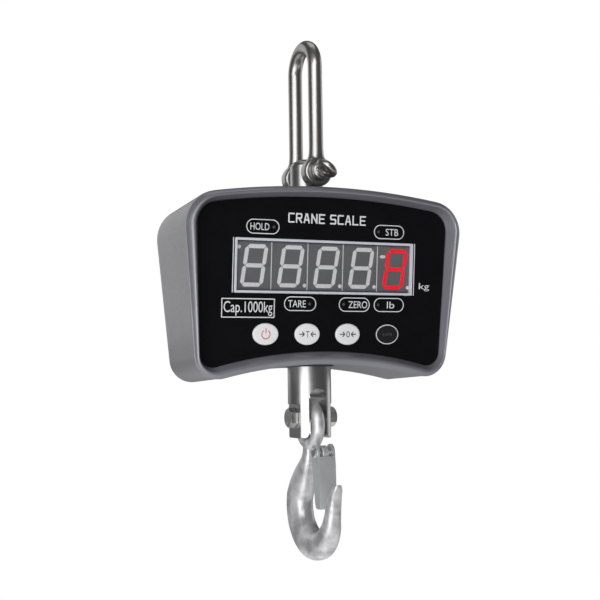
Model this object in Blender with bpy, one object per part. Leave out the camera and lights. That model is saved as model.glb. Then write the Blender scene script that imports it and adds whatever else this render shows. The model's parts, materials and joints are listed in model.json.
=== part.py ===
"""Hanging crane scale: long shackle, tilted display housing, swivel clevis and eye hook.

Metres, +Z up, front of the scale towards -Y. The origin is the inside top of the
shackle's bow, where the scale hangs. Everything is laid out downwards from there.
"""
from math import atan2, cos, hypot, pi, radians, sin, sqrt

import bmesh
import bpy
from mathutils import Matrix, Vector

MM = 0.001
GAP = 0.3 * MM                    # clearance kept between touching pieces

# ---- shackle ----
ROD_DIA = 10.5 * MM
LEG_PITCH = 36.0 * MM             # centre to centre of the two legs
PIN_DROP = 91.6 * MM              # hang point down to the shackle pin's axis
PIN_DIA = 10.0 * MM
EAR_DIA = 22.0 * MM
PIN_COLLAR_DIA = 13.5 * MM
PIN_COLLAR_LENGTH = 5.0 * MM
PIN_EYE_DIA = 17.0 * MM
PIN_EYE_HOLE = 7.0 * MM
PIN_EYE_THICKNESS = 5.0 * MM
PIN_EYE_LEAN = radians(-50)

# ---- housing outline, seen from the front; heights are from the housing's datum ----
DATUM_DROP = 95.3 * MM            # shackle pin's axis down to the housing's datum
TOP_HEIGHT = 81.2 * MM
BOTTOM_DEPTH = 45.2 * MM
HALF_WIDTH = 102.6 * MM           # at the datum
SIDE_TAPER = 0.101                # half width gained for each unit of height
TOP_ARC = 587.0 * MM
BOTTOM_ARC = 327.0 * MM
TOP_CORNER = 24.0 * MM
BOTTOM_CORNER = 17.0 * MM
TILT = radians(5.62)              # the front leans forward at its top
FACE_DEPTH = 30.4 * MM            # load axis forward to the panel's face, at the datum
REAR_DEPTH = 32.6 * MM            # load axis back to the rear face
REAR_TOP_DROP = 4.2 * MM
REAR_BOTTOM_DROP = 2.0 * MM
REAR_EDGE = 4.5 * MM              # rounding of the rear edge
WALL = 2.8 * MM
REAR_WALL = 4.0 * MM

# ---- front frame and its raised bead; depths are outwards from the panel's face ----
BEAD_FOOT = 3.9 * MM
BEAD_RISE = 5.6 * MM              # foot to crest at the top of the housing
BEAD_LOW_SHARE = 0.35             # share of that rise left at the bottom
SEAM_DEPTH = 3.0 * MM
SEAM_STEP = 0.5 * MM
RIM_WALL = 1.6 * MM               # the shell thins to this round the frame's tongue
GASKET_THICKNESS = 1.0 * MM
LEDGE_WIDTH = 3.0 * MM
LEDGE_THICKNESS = 2.2 * MM
POST_DIA = 9.0 * MM
POST_X = 92.6 * MM
POST_TOP = 48.0 * MM
POST_BOTTOM = -28.0 * MM

# ---- panel and what shows in it ----
PANEL_MID_WIDTH = 96.1 * MM       # half width at the datum
PANEL_TAPER = 0.035
PANEL_TOP_INSET = 7.5 * MM
PANEL_BOTTOM_INSET = 9.0 * MM
PANEL_TOP_CORNER = 15.0 * MM
PANEL_BOTTOM_CORNER = 10.0 * MM
PANEL_THICKNESS = 2.0 * MM
DISPLAY_HEIGHT = 24.0 * MM        # display's centre above the datum
DISPLAY_SIZE = (141.0 * MM, 38.4 * MM)
TRIM_WIDTH = 1.8 * MM
TRIM_PROUD = 0.4 * MM
LENS_THICKNESS = 1.2 * MM
DIGIT_COUNT = 5
DIGIT_PITCH = 28.0 * MM
DIGIT_DEPTH = 7.0 * MM
BUTTON_SIZE = (19.4 * MM, 15.3 * MM)
BUTTON_FIRST = -46.2 * MM
BUTTON_PITCH = 32.1 * MM
BUTTON_HEIGHT = -24.0 * MM
BUTTON_PROUD = 1.2 * MM
BUTTON_TRAVEL = 0.8 * MM
BUTTON_FLANGE = 1.2 * MM
LAMP_DIA = 3.0 * MM
LAMPS = {"lamp_hold": (-41.0 * MM, 51.3 * MM), "lamp_stable": (42.0 * MM, 51.0 * MM),
         "lamp_tare": (-12.0 * MM, -2.4 * MM), "lamp_zero": (15.0 * MM, -2.4 * MM),
         "lamp_unit": (43.3 * MM, -2.4 * MM)}
BOARD_DEPTH = 10.2 * MM           # panel's face back to the display board
BOARD_THICKNESS = 1.6 * MM
BOARD_SIZE = (150.0 * MM, 96.0 * MM)
BOARD_CENTRE = 13.5 * MM

# ---- load cell ----
LUG_DIA = 24.0 * MM
LUG_ABOVE_PIN = 12.2 * MM
CELL_SIZE = (38.0 * MM, 26.0 * MM)
CELL_TOP = 70.0 * MM
CELL_BOTTOM = -37.6 * MM
GAUGE_BORE = 18.0 * MM
GAUGE_HEIGHT = 40.0 * MM
NUT_ROOM = (29.0 * MM, 27.0 * MM)
NUT_ROOM_FLOOR = -22.0 * MM
SPACER_DIA = 10.0 * MM
SPACER_HEIGHTS = (60.0 * MM, -30.0 * MM)
CELL_SCREW_GRIP = 4.5 * MM

# ---- screws: head radius, shank radius, length ----
CASE_SCREW = (4.0 * MM, 2.0 * MM, 15.0 * MM)
DOOR_SCREW = (2.8 * MM, 1.5 * MM, 6.0 * MM)
SCREW_FLAT = 0.4 * MM             # straight rim of a countersunk head
SCREW_SINK = 0.1 * MM             # head below the face around it
SCREW_PASS = 12.0 * MM            # depth of a screw's way through the shell

# ---- seals, charging socket and wiring ----
SEAL_WALL = 2.0 * MM
TOP_SEAL_HEIGHT = 9.0 * MM
TOP_SEAL_PROUD = 0.8 * MM
BOTTOM_SEAL_HEIGHT = 6.0 * MM
BOTTOM_SEAL_RISE = 4.5 * MM
SOCKET_DIA = 11.0 * MM
SOCKET_BORE = 6.4 * MM
SOCKET_LENGTH = 11.6 * MM
SOCKET_SINK = 0.4 * MM
SOCKET_PLACE = (-60.0 * MM, -24.0 * MM)
LEAD_DIA = 2.4 * MM
STEPS_BETWEEN = 3                 # steps between two hand-placed points of a tube

# ---- main board and buzzer ----
MAIN_BOARD = (46.0 * MM, 70.0 * MM)
MAIN_BOARD_PLACE = (-56.0 * MM, 12.0 * MM, 18.0 * MM)
BUZZER_DIA = 12.0 * MM
BUZZER_HEIGHT = 7.7 * MM
BUZZER_PLACE = (-6.0 * MM, -18.0 * MM)

# ---- battery ----
BATTERY_SIZE = (66.0 * MM, 12.0 * MM, 50.0 * MM)
BATTERY_HEIGHT = 14.0 * MM
DOOR_SIZE = (84.0 * MM, 56.0 * MM)
DOOR_THICKNESS = 2.0 * MM
DOOR_REBATE = 7.5 * MM

# ---- swivel and clevis ----
STEM_DIA = 14.0 * MM
RACE_DIA = 26.0 * MM
RACE_THICKNESS = 2.4 * MM
BALL_DIA = 3.6 * MM
BALL_COUNT = 9
SWIVEL_NUT_FLATS = 22.0 * MM
SWIVEL_NUT_HEIGHT = 7.5 * MM
CLEVIS_DIA = 32.0 * MM
CLEVIS_LENGTH = 60.6 * MM
CLEVIS_FLATS = 24.4 * MM
SLOT_WIDTH = 14.0 * MM
SLOT_HEIGHT = 36.0 * MM
BOLT_DIA = 8.0 * MM
BOLT_ABOVE_FOOT = 14.8 * MM
BOLT_HEAD_FLATS = 13.0 * MM
BOLT_HEAD_HEIGHT = 5.3 * MM
LOCK_NUT_HEIGHT = 6.8 * MM

# ---- hook, in the plane across the bolt; places are (forward or back, down from the bolt) ----
EYE_BAR = 9.8 * MM
EYE_INSIDE = 19.0 * MM
BOWL_CENTRE = (-11.5 * MM, -65.5 * MM)
LATCH_PIVOT = (-22.0 * MM, -24.7 * MM)
LATCH_PIN_DIA = 4.0 * MM
LATCH_WIDTH = 13.2 * MM
LATCH_SHEET = 1.3 * MM
LATCH_LENGTH = 39.5 * MM
LUG_HALF_WIDTH = 2.4 * MM

# ---- levels worked out from the sizes above ----
PIN_Z = -PIN_DROP
DATUM_Z = PIN_Z - DATUM_DROP
BOW_RADIUS = LEG_PITCH / 2
BOW_CENTRE_Z = ROD_DIA / 2 - BOW_RADIUS
CLEVIS_TOP_Z = DATUM_Z + CELL_BOTTOM - 2 * GAP
CLEVIS_FOOT_Z = CLEVIS_TOP_Z - CLEVIS_LENGTH
BOLT_Z = CLEVIS_FOOT_Z + BOLT_ABOVE_FOOT
RACE_Z = DATUM_Z + NUT_ROOM_FLOOR + GAP
GASKET_OUTER = SEAM_DEPTH - GAP
GASKET_INNER = GASKET_OUTER - GASKET_THICKNESS
SHELL_RIM = GASKET_INNER - GAP
TONGUE_INSET = RIM_WALL + GAP
LEDGE_BACK = PANEL_THICKNESS + GAP + LEDGE_THICKNESS
INSIDE_Y = REAR_DEPTH - REAR_WALL     # the rear wall's inner face

# ---- colours: base colour, roughness, metallic ----
FINISHES = {
    "steel_polished": ((0.62, 0.61, 0.59), 0.22, 1.0),
    "steel_turned": ((0.60, 0.60, 0.60), 0.30, 1.0),
    "steel_zinc": ((0.66, 0.67, 0.66), 0.45, 0.9),
    "housing_paint": ((0.44, 0.44, 0.46), 0.45, 0.3),
    "bead_paint": ((0.33, 0.34, 0.38), 0.38, 0.3),
    "panel_black": ((0.012, 0.012, 0.014), 0.12, 0.0),
    "trim_grey": ((0.62, 0.61, 0.68), 0.4, 0.0),
    "lens_clear": ((0.80, 0.80, 0.82), 0.05, 0.0),
    "digit_grey": ((0.16, 0.16, 0.17), 0.5, 0.0),
    "button_white": ((0.85, 0.85, 0.85), 0.4, 0.0),
    "button_black": ((0.02, 0.02, 0.02), 0.4, 0.0),
    "board_green": ((0.03, 0.18, 0.07), 0.5, 0.0),
    "rubber_black": ((0.03, 0.03, 0.03), 0.8, 0.0),
    "battery_blue": ((0.05, 0.12, 0.35), 0.4, 0.0),
    "plastic_dark": ((0.05, 0.05, 0.055), 0.5, 0.0),
    "lamp_red": ((0.35, 0.03, 0.03), 0.2, 0.0),
    "cell_aluminium": ((0.72, 0.73, 0.74), 0.35, 1.0),
    "potting_white": ((0.80, 0.80, 0.76), 0.6, 0.0),
}


# ---------------------------------------------------------------- scene helpers

def clear_scene():
    """Remove every object, so the script can run again in the same file."""
    for obj in list(bpy.data.objects):
        bpy.data.objects.remove(obj, do_unlink=True)


def make_material(name, finish):
    """A Principled material of the piece's own, in one of the named finishes."""
    colour, roughness, metallic = FINISHES[finish]
    material = bpy.data.materials.new(name + "_finish")
    material.use_nodes = True
    shader = material.node_tree.nodes["Principled BSDF"]
    shader.inputs["Base Color"].default_value = (*colour, 1.0)
    shader.inputs["Roughness"].default_value = roughness
    shader.inputs["Metallic"].default_value = metallic
    return material


def make_axis(name, place, parent=None):
    """An empty on a joint's axis, which the moving pieces hang from."""
    axis = bpy.data.objects.new(name, None)
    bpy.context.collection.objects.link(axis)
    axis.empty_display_size = 0.01
    origin = parent["place"] if parent else (0.0, 0.0, 0.0)
    axis.location = Vector(place) - Vector(origin)
    axis["place"] = tuple(place)
    axis.parent = parent
    return axis


def make_piece(name, mesh_data, finish, axis=None, smooth=30):
    """Turn a bmesh in world coordinates into an object whose origin is on its axis."""
    bmesh.ops.remove_doubles(mesh_data, verts=mesh_data.verts, dist=1e-7)
    bmesh.ops.recalc_face_normals(mesh_data, faces=mesh_data.faces)
    origin = Vector(axis["place"]) if axis else Vector()
    bmesh.ops.translate(mesh_data, verts=mesh_data.verts, vec=-origin)
    mesh = bpy.data.meshes.new(name)
    mesh_data.to_mesh(mesh)
    mesh_data.free()
    mesh.shade_smooth()
    mesh.set_sharp_from_angle(angle=radians(smooth))
    piece = bpy.data.objects.new(name, mesh)
    bpy.context.collection.objects.link(piece)
    piece.parent = axis
    if finish:
        mesh.materials.append(make_material(name, finish))
    return piece


def boolean(piece, tool_mesh, operation):
    """Cut or join a bmesh in world coordinates, kept as a hidden tool object."""
    index = sum(1 for modifier in piece.modifiers if modifier.type == "BOOLEAN") + 1
    tool = make_piece(f"{piece.name}_tool_{index}", tool_mesh, None)
    tool.hide_render = True
    tool.display_type = "WIRE"
    modifier = piece.modifiers.new(f"{operation.lower()}_{index}", "BOOLEAN")
    modifier.operation = operation
    modifier.solver = "EXACT"
    modifier.object = tool


def cut(piece, *tools):
    for tool in tools:
        boolean(piece, tool, "DIFFERENCE")


def join(piece, *tools):
    for tool in tools:
        boolean(piece, tool, "UNION")


def moved(mesh_data, matrix):
    bmesh.ops.transform(mesh_data, matrix=matrix, verts=mesh_data.verts)
    return mesh_data


# ---------------------------------------------------------------- solids

def loft(loops, ring=False):
    """Skin a row of loops with equal point counts; the ends are capped, or joined as a ring."""
    mesh_data = bmesh.new()
    rows = [[mesh_data.verts.new(point) for point in loop] for loop in loops]
    pairs = list(zip(rows, rows[1:]))
    if ring:
        pairs.append((rows[-1], rows[0]))
    for low, high in pairs:
        count = len(low)
        for i in range(count):
            j = (i + 1) % count
            mesh_data.faces.new((low[i], low[j], high[j], high[i]))
    if not ring:
        mesh_data.faces.new(rows[0][::-1])
        mesh_data.faces.new(rows[-1])
    return mesh_data


def prism(outline, low, high, axis="Z"):
    """Extrude a flat outline between two levels along an axis."""
    order = {"X": lambda p, h: (h, p[0], p[1]), "Y": lambda p, h: (p[0], h, p[1]),
             "Z": lambda p, h: (p[0], p[1], h)}[axis]
    return loft([[order(p, low) for p in outline], [order(p, high) for p in outline]])


def box(low, high):
    outline = [(low[0], low[1]), (high[0], low[1]), (high[0], high[1]), (low[0], high[1])]
    return prism(outline, low[2], high[2])


def turned(profile, axis="Z", centre=(0.0, 0.0, 0.0), sides=24, ring=False):
    """Turn a profile of (radius, height) points about an axis through centre."""
    frames = {"X": lambda a, b, h: (h, a, b), "Y": lambda a, b, h: (a, h, b),
              "Z": lambda a, b, h: (a, b, h)}
    put = frames[axis]
    loops = []
    for radius, height in profile:
        angles = (2 * pi * (i + 0.5) / sides for i in range(sides))
        points = (put(radius * cos(t), radius * sin(t), height) for t in angles)
        loops.append([Vector(point) + Vector(centre) for point in points])
    return loft(loops, ring)


def rod(radius, low, high, axis="Z", centre=(0.0, 0.0, 0.0), sides=24, chamfer=0.0):
    """A round bar between two heights along an axis, with chamfered ends if wanted."""
    profile = [(radius, low), (radius, high)]
    if chamfer:
        inner = radius - chamfer
        profile = [(inner, low), (radius, low + chamfer), (radius, high - chamfer), (inner, high)]
    return turned(profile, axis, centre, sides)


def tube(inner, outer, low, high, axis="Z", centre=(0.0, 0.0, 0.0), sides=24):
    profile = [(inner, low), (outer, low), (outer, high), (inner, high)]
    return turned(profile, axis, centre, sides, ring=True)


def hexagon(flats):
    corner = flats / sqrt(3)
    return [(corner * cos(pi * i / 3 + pi / 6), corner * sin(pi * i / 3 + pi / 6)) for i in range(6)]


def oval(width, height, sides=20):
    return [(width / 2 * cos(2 * pi * i / sides), height / 2 * sin(2 * pi * i / sides))
            for i in range(sides)]


def rounded_box_outline(width, height, corner, steps=4, centre=(0.0, 0.0)):
    points = []
    for sx, sz, start in ((1, 1, 0), (-1, 1, 90), (-1, -1, 180), (1, -1, 270)):
        for i in range(steps + 1):
            turn = radians(start + 90 * i / steps)
            points.append((centre[0] + sx * (width / 2 - corner) + corner * cos(turn),
                           centre[1] + sz * (height / 2 - corner) + corner * sin(turn)))
    return points


def tube_along(points, radius, sides=6):
    """A solid tube on a smooth curve through hand-placed points."""
    route = []
    count = len(points)
    for i in range(count - 1):
        before = Vector(points[max(i - 1, 0)])
        start, end = Vector(points[i]), Vector(points[i + 1])
        after = Vector(points[min(i + 2, count - 1)])
        for k in range(STEPS_BETWEEN):
            t = k / STEPS_BETWEEN
            route.append(0.5 * (2 * start + (end - before) * t
                                + (2 * before - 5 * start + 4 * end - after) * t ** 2
                                + (3 * start - before - 3 * end + after) * t ** 3))
    route.append(Vector(points[-1]))
    loops = []
    side = None
    for i, point in enumerate(route):
        ahead = route[min(i + 1, len(route) - 1)] - route[max(i - 1, 0)]
        ahead.normalize()
        side = ahead.orthogonal() if side is None else side - ahead * side.dot(ahead)
        side.normalize()
        other = ahead.cross(side)
        loops.append([point + radius * (cos(2 * pi * k / sides) * side + sin(2 * pi * k / sides) * other)
                      for k in range(sides)])
    return loft(loops)


# ---------------------------------------------------------------- housing outline

def outline(half_width, taper, top, top_arc, bottom, bottom_arc, top_corner, bottom_corner,
            side_inset=0.0, top_inset=0.0, bottom_inset=0.0, arc_steps=5, corner_steps=5):
    """Closed outline of the housing: two shallow arcs, slanted sides and round corners.

    The insets move the sides, the top and the bottom inwards; the corners shrink with them.
    Every call gives the same number of points, so outlines can be skinned to each other.
    """
    slope = hypot(1.0, taper)
    normal = (1.0 / slope, -taper / slope)
    reach = half_width / slope - side_inset
    top_radius, top_z = top_arc - top_inset, top - top_inset
    bottom_radius, bottom_z = bottom_arc + bottom_inset, bottom + bottom_inset
    r_top = max(top_corner - max(side_inset, top_inset), 1.0 * MM)
    r_bottom = max(bottom_corner - max(side_inset, bottom_inset), 1.0 * MM)

    def corner_centre(distance, arc_z, radius):
        along = (-normal[1], normal[0])
        start = (normal[0] * distance, normal[1] * distance - arc_z)
        b = start[0] * along[0] + start[1] * along[1]
        c = start[0] ** 2 + start[1] ** 2 - radius ** 2
        s = -b + sqrt(b * b - c)
        return (start[0] + along[0] * s, start[1] + along[1] * s + arc_z)

    top_mid = top_z - top_radius
    bottom_mid = bottom_z - bottom_radius
    upper = corner_centre(reach - r_top, top_mid, top_radius - r_top)
    lower = corner_centre(reach - r_bottom, bottom_mid, bottom_radius + r_bottom)
    side_turn = atan2(normal[0], normal[1])
    upper_turn = atan2(upper[0], upper[1] - top_mid)
    lower_turn = atan2(lower[0], lower[1] - bottom_mid)

    def arc(centre, radius, start, end, steps, first=0):
        turns = (start + (end - start) * i / steps for i in range(first, steps))
        return [(centre[0] + radius * sin(t), centre[1] + radius * cos(t)) for t in turns]

    half = arc((0.0, top_mid), top_radius, 0.0, upper_turn, arc_steps)
    half += arc(upper, r_top, upper_turn, side_turn, corner_steps)
    half.append((upper[0] + r_top * sin(side_turn), upper[1] + r_top * cos(side_turn)))
    half += arc(lower, r_bottom, side_turn, lower_turn + pi, corner_steps)
    half += arc((0.0, bottom_mid), bottom_radius, lower_turn, 0.0, arc_steps)
    half.append((0.0, bottom_z))
    return half + [(-x, z) for x, z in half[-2:0:-1]]


def housing_outline(inset=0.0):
    return outline(HALF_WIDTH, SIDE_TAPER, TOP_HEIGHT, TOP_ARC, -BOTTOM_DEPTH, BOTTOM_ARC,
                   TOP_CORNER, BOTTOM_CORNER, inset, inset, inset)


def rear_outline(inset=0.0):
    return outline(HALF_WIDTH, SIDE_TAPER, TOP_HEIGHT - REAR_TOP_DROP, TOP_ARC,
                   -BOTTOM_DEPTH - REAR_BOTTOM_DROP, BOTTOM_ARC, TOP_CORNER, BOTTOM_CORNER,
                   inset, inset, inset)


def panel_outline(inset=0.0):
    return outline(PANEL_MID_WIDTH, PANEL_TAPER, TOP_HEIGHT - PANEL_TOP_INSET, TOP_ARC,
                   -BOTTOM_DEPTH + PANEL_BOTTOM_INSET, BOTTOM_ARC, PANEL_TOP_CORNER,
                   PANEL_BOTTOM_CORNER, inset, inset, inset)


FRONT = Matrix.Translation((0.0, -FACE_DEPTH, DATUM_Z)) @ Matrix.Rotation(TILT, 4, "X")


def on_front(points, depth):
    """Place an outline parallel to the panel, a depth outwards from the panel's face."""
    return [FRONT @ Vector((x, -depth, z)) for x, z in points]


def on_rear(points, y):
    return [Vector((x, y, DATUM_Z + z)) for x, z in points]


def front_prism(points, inner, outer):
    """A prism parallel to the panel between two depths."""
    return loft([on_front(points, inner), on_front(points, outer)])


def front_turned(profile, x, z, sides=16):
    """A turned piece on a line square to the panel; heights run outwards."""
    flipped = [(radius, -depth) for radius, depth in profile]
    return moved(turned(flipped, "Y", (x, 0.0, z), sides), FRONT)


def shifted(points, x, z):
    return [(px + x, pz + z) for px, pz in points]


def blend_loops(first, last, share):
    return [a.lerp(b, share) for a, b in zip(first, last)]


# ---------------------------------------------------------------- shackle

def build_shackle():
    radius = ROD_DIA / 2
    sides = 12

    def ring_of(y, z, across, along, turn):
        """A loop of the rod: across is its half width in X, turn leans it round the bow."""
        points = []
        for i in range(sides):
            t = 2 * pi * i / sides
            out = along * sin(t)
            points.append((across * cos(t), y + out * cos(turn), z + out * sin(turn)))
        return points

    flare = [(4.0 * MM, 1.75), (8.5 * MM, 1.35), (13.0 * MM, 1.06), (18.0 * MM, 1.0)]
    loops = [ring_of(-BOW_RADIUS, PIN_Z + up, radius * wide, radius, pi) for up, wide in flare]
    steps = 12
    for i in range(steps + 1):
        turn = pi - pi * i / steps
        loops.append(ring_of(BOW_RADIUS * cos(turn), BOW_CENTRE_Z + BOW_RADIUS * sin(turn),
                             radius, radius, turn))
    loops += [ring_of(BOW_RADIUS, PIN_Z + up, radius * wide, radius, 0.0) for up, wide in reversed(flare)]
    bow = make_piece("shackle_bow", loft(loops), "steel_polished")
    for side in (-1, 1):
        outer = EAR_DIA / 2
        ear = [(outer - 3.2 * MM, -radius), (outer - 0.9 * MM, 0.9 * MM - radius), (outer, 3.0 * MM - radius),
               (outer, radius - 3.0 * MM), (outer - 0.9 * MM, radius - 0.9 * MM), (outer - 3.2 * MM, radius)]
        join(bow, turned(ear, "Y", (0.0, side * BOW_RADIUS, PIN_Z), 20))
    reach = BOW_RADIUS + ROD_DIA
    cut(bow, rod(PIN_DIA / 2 + GAP, -reach, reach, "Y", (0.0, 0.0, PIN_Z), 24))


def build_shackle_pin():
    """Screw pin: plain shank, collar against the front ear, and a flattened eye to turn it by."""
    ear_face = BOW_RADIUS + ROD_DIA / 2
    shank = PIN_DIA / 2
    collar = PIN_COLLAR_DIA / 2
    collar_back = -ear_face - GAP
    collar_front = collar_back - PIN_COLLAR_LENGTH
    edge = 0.8 * MM
    profile = [(shank - edge, ear_face + 1.6 * MM), (shank, ear_face + 1.6 * MM - edge),
               (shank, collar_back), (collar - edge, collar_back), (collar, collar_back - edge),
               (collar, collar_front + edge), (collar - 2 * edge, collar_front),
               (shank, collar_front - 1.0 * MM)]
    pin = make_piece("shackle_pin", turned(profile, "Y", (0.0, 0.0, PIN_Z), 24), "steel_polished")
    eye_y = collar_front - PIN_EYE_DIA / 2 + 1.6 * MM
    half = PIN_EYE_THICKNESS / 2
    eye = PIN_EYE_DIA / 2
    disc = [(eye - 1.8 * MM, -half), (eye, -half + 1.4 * MM), (eye, half - 1.4 * MM), (eye - 1.8 * MM, half)]
    lean = Matrix.Translation((0.0, eye_y, PIN_Z)) @ Matrix.Rotation(PIN_EYE_LEAN, 4, "Y")
    join(pin, moved(turned(disc, "X", sides=24), lean))
    cut(pin, moved(rod(PIN_EYE_HOLE / 2, -eye, eye, "X", sides=16), lean))


# ---------------------------------------------------------------- housing

def seam_loop(inset, depth):
    return on_front(housing_outline(inset), depth)


def bead_loop(share, rise):
    """A loop of the bead, a share of the way from the housing's outline to the panel's."""
    loop = []
    for (x_out, z_out), (x_in, z_in) in zip(housing_outline(), panel_outline(-GAP)):
        x, z = x_out + (x_in - x_out) * share, z_out + (z_in - z_out) * share
        height = (z + BOTTOM_DEPTH) / (TOP_HEIGHT + BOTTOM_DEPTH)
        fade = BEAD_LOW_SHARE + (1.0 - BEAD_LOW_SHARE) * max(height, 0.0)
        loop.append(FRONT @ Vector((x, -BEAD_FOOT - BEAD_RISE * rise * fade, z)))
    return loop


def post_places():
    return [(side * (POST_X + SIDE_TAPER * z), z) for z in (POST_TOP, POST_BOTTOM) for side in (-1, 1)]


def screw_profile(size):
    """Countersunk screw, from the flat of its head down its shank."""
    head, shank, length = size
    return [(head, -SCREW_SINK), (head, -SCREW_FLAT), (shank, -SCREW_FLAT - head + shank), (shank, -length)]


def screw_way(size, length):
    """The clearance that a countersunk screw needs, open above its head."""
    head, shank, _ = size
    return [(head + GAP, SCREW_PASS), (head + GAP, -SCREW_FLAT), (shank + GAP, -SCREW_FLAT - head + shank),
            (shank + GAP, -length - GAP)]


def rear_screw(profile, x, z):
    flipped = [(radius, REAR_DEPTH + height) for radius, height in profile]
    return turned(flipped, "Y", (x, 0.0, DATUM_Z + z), 12)


def build_rear_shell():
    """Deep tapered shell, open at the front, with a rounded rear edge and a stepped rim."""
    step = SEAM_STEP
    front_full = seam_loop(0.0, SHELL_RIM - 1.0 * MM)
    rear_start = on_rear(rear_outline(), REAR_DEPTH - REAR_EDGE)
    loops = [seam_loop(step, SHELL_RIM), seam_loop(step, SHELL_RIM - 0.8 * MM), front_full,
             blend_loops(front_full, rear_start, 0.5), rear_start]
    for turn in (30, 60, 90):
        inset = REAR_EDGE * (1 - cos(radians(turn)))
        loops.append(on_rear(rear_outline(inset), REAR_DEPTH - REAR_EDGE * (1 - sin(radians(turn)))))
    shell = make_piece("rear_shell", loft(loops), "housing_paint")
    hollow = [seam_loop(RIM_WALL, SHELL_RIM + 2.0 * MM), seam_loop(RIM_WALL, -LEDGE_BACK - 2 * GAP),
              seam_loop(WALL, -LEDGE_BACK - 2 * GAP - WALL + RIM_WALL),
              on_rear(rear_outline(WALL), REAR_DEPTH - REAR_WALL - REAR_EDGE),
              on_rear(rear_outline(WALL + 1.5 * MM), REAR_DEPTH - REAR_WALL)]
    top = DATUM_Z + TOP_HEIGHT
    bottom = DATUM_Z - BOTTOM_DEPTH
    back = REAR_DEPTH + 5.0 * MM
    inside = INSIDE_Y - 2.0 * MM
    pocket = REAR_DEPTH - DOOR_THICKNESS - GAP
    door = rounded_box_outline(DOOR_SIZE[0] + 2 * GAP, DOOR_SIZE[1] + 2 * GAP, 4.0 * MM + GAP,
                               centre=(0.0, DATUM_Z + BATTERY_HEIGHT))
    opening = rounded_box_outline(DOOR_SIZE[0] - 2 * DOOR_REBATE, DOOR_SIZE[1] - 6.0 * MM, 2.0 * MM,
                                  centre=(0.0, DATUM_Z + BATTERY_HEIGHT))
    cut(shell, loft(hollow),
        rod(LUG_DIA / 2 + SEAL_WALL + GAP, top - 20 * MM, top + 10 * MM, sides=28),
        rod(CLEVIS_DIA / 2 + SEAL_WALL + 2 * GAP, bottom - 15 * MM, bottom + 15 * MM, sides=28),
        prism(door, pocket, back, "Y"),
        prism(opening, inside, back, "Y"))
    for x, z in post_places() + [(0.0, height) for height in SPACER_HEIGHTS]:
        cut(shell, rear_screw(screw_way(CASE_SCREW, SCREW_PASS), x, z))
    for x in door_screw_places():
        hole = DOOR_SCREW[1] + GAP
        cut(shell, rear_screw([(hole, SCREW_PASS), (hole, -SCREW_PASS)], x, BATTERY_HEIGHT))
    x, z = SOCKET_PLACE
    cut(shell, rod(SOCKET_DIA / 2 + GAP, inside, back, "Y", (x, 0.0, DATUM_Z + z), 20))


def door_screw_places():
    reach = DOOR_SIZE[0] / 2 - DOOR_REBATE / 2
    return (-reach, reach)


def build_front_frame():
    """Raised bead round the panel, a tongue into the rear shell, a ledge and four screw posts."""
    loops = [seam_loop(0.3 * MM, SEAM_DEPTH), seam_loop(0.0, SEAM_DEPTH + 0.3 * MM)]
    loops += [bead_loop(share, rise) for share, rise in
              ((0.0, 0.0), (0.12, 0.45), (0.26, 0.82), (0.40, 0.98), (0.52, 0.97), (0.62, 0.78))]
    loops += [
        on_front(panel_outline(-GAP), 0.0),
        on_front(panel_outline(-GAP), -PANEL_THICKNESS - GAP),
        on_front(panel_outline(LEDGE_WIDTH), -PANEL_THICKNESS - GAP),
        on_front(panel_outline(LEDGE_WIDTH), -LEDGE_BACK),
        seam_loop(TONGUE_INSET, -LEDGE_BACK),
        seam_loop(TONGUE_INSET, SEAM_DEPTH),
    ]
    frame = make_piece("front_frame", loft(loops, ring=True), "bead_paint")
    back = INSIDE_Y - GAP
    for x, z in post_places():
        front = (FRONT @ Vector((x, LEDGE_BACK - 1.0 * MM, z))).y
        join(frame, rod(POST_DIA / 2, front, back, "Y", (x, 0.0, DATUM_Z + z), 16))
    for x, z in post_places():
        cut(frame, rear_screw(screw_way(CASE_SCREW, CASE_SCREW[2] + 1.0 * MM), x, z))


def build_gasket():
    outer, inner = SEAM_STEP + GAP, RIM_WALL - 0.1 * MM
    loops = [seam_loop(outer, GASKET_INNER), seam_loop(outer, GASKET_OUTER),
             seam_loop(inner, GASKET_OUTER), seam_loop(inner, GASKET_INNER)]
    make_piece("housing_gasket", loft(loops, ring=True), "rubber_black", HOUSING)


def build_panel():
    """Front plate with openings for the display, the buttons and the lamps."""
    plate = front_prism(panel_outline(), -PANEL_THICKNESS, 0.0)
    panel = make_piece("front_panel", plate, "panel_black", HOUSING)
    width, height = DISPLAY_SIZE
    window = rounded_box_outline(width + 2 * GAP, height + 2 * GAP, 1.0 * MM, 2, (0.0, DISPLAY_HEIGHT))
    deep, proud = -PANEL_THICKNESS - 1.0 * MM, 1.0 * MM
    cut(panel, front_prism(window, deep, proud))
    for x in button_places():
        hole = shifted(oval(BUTTON_SIZE[0] + 2 * GAP, BUTTON_SIZE[1] + 2 * GAP), x, BUTTON_HEIGHT)
        cut(panel, front_prism(hole, deep, proud))
    hole = LAMP_DIA / 2 + GAP
    for x, z in LAMPS.values():
        cut(panel, front_turned([(hole, deep), (hole, proud)], x, z, 12))


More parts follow.
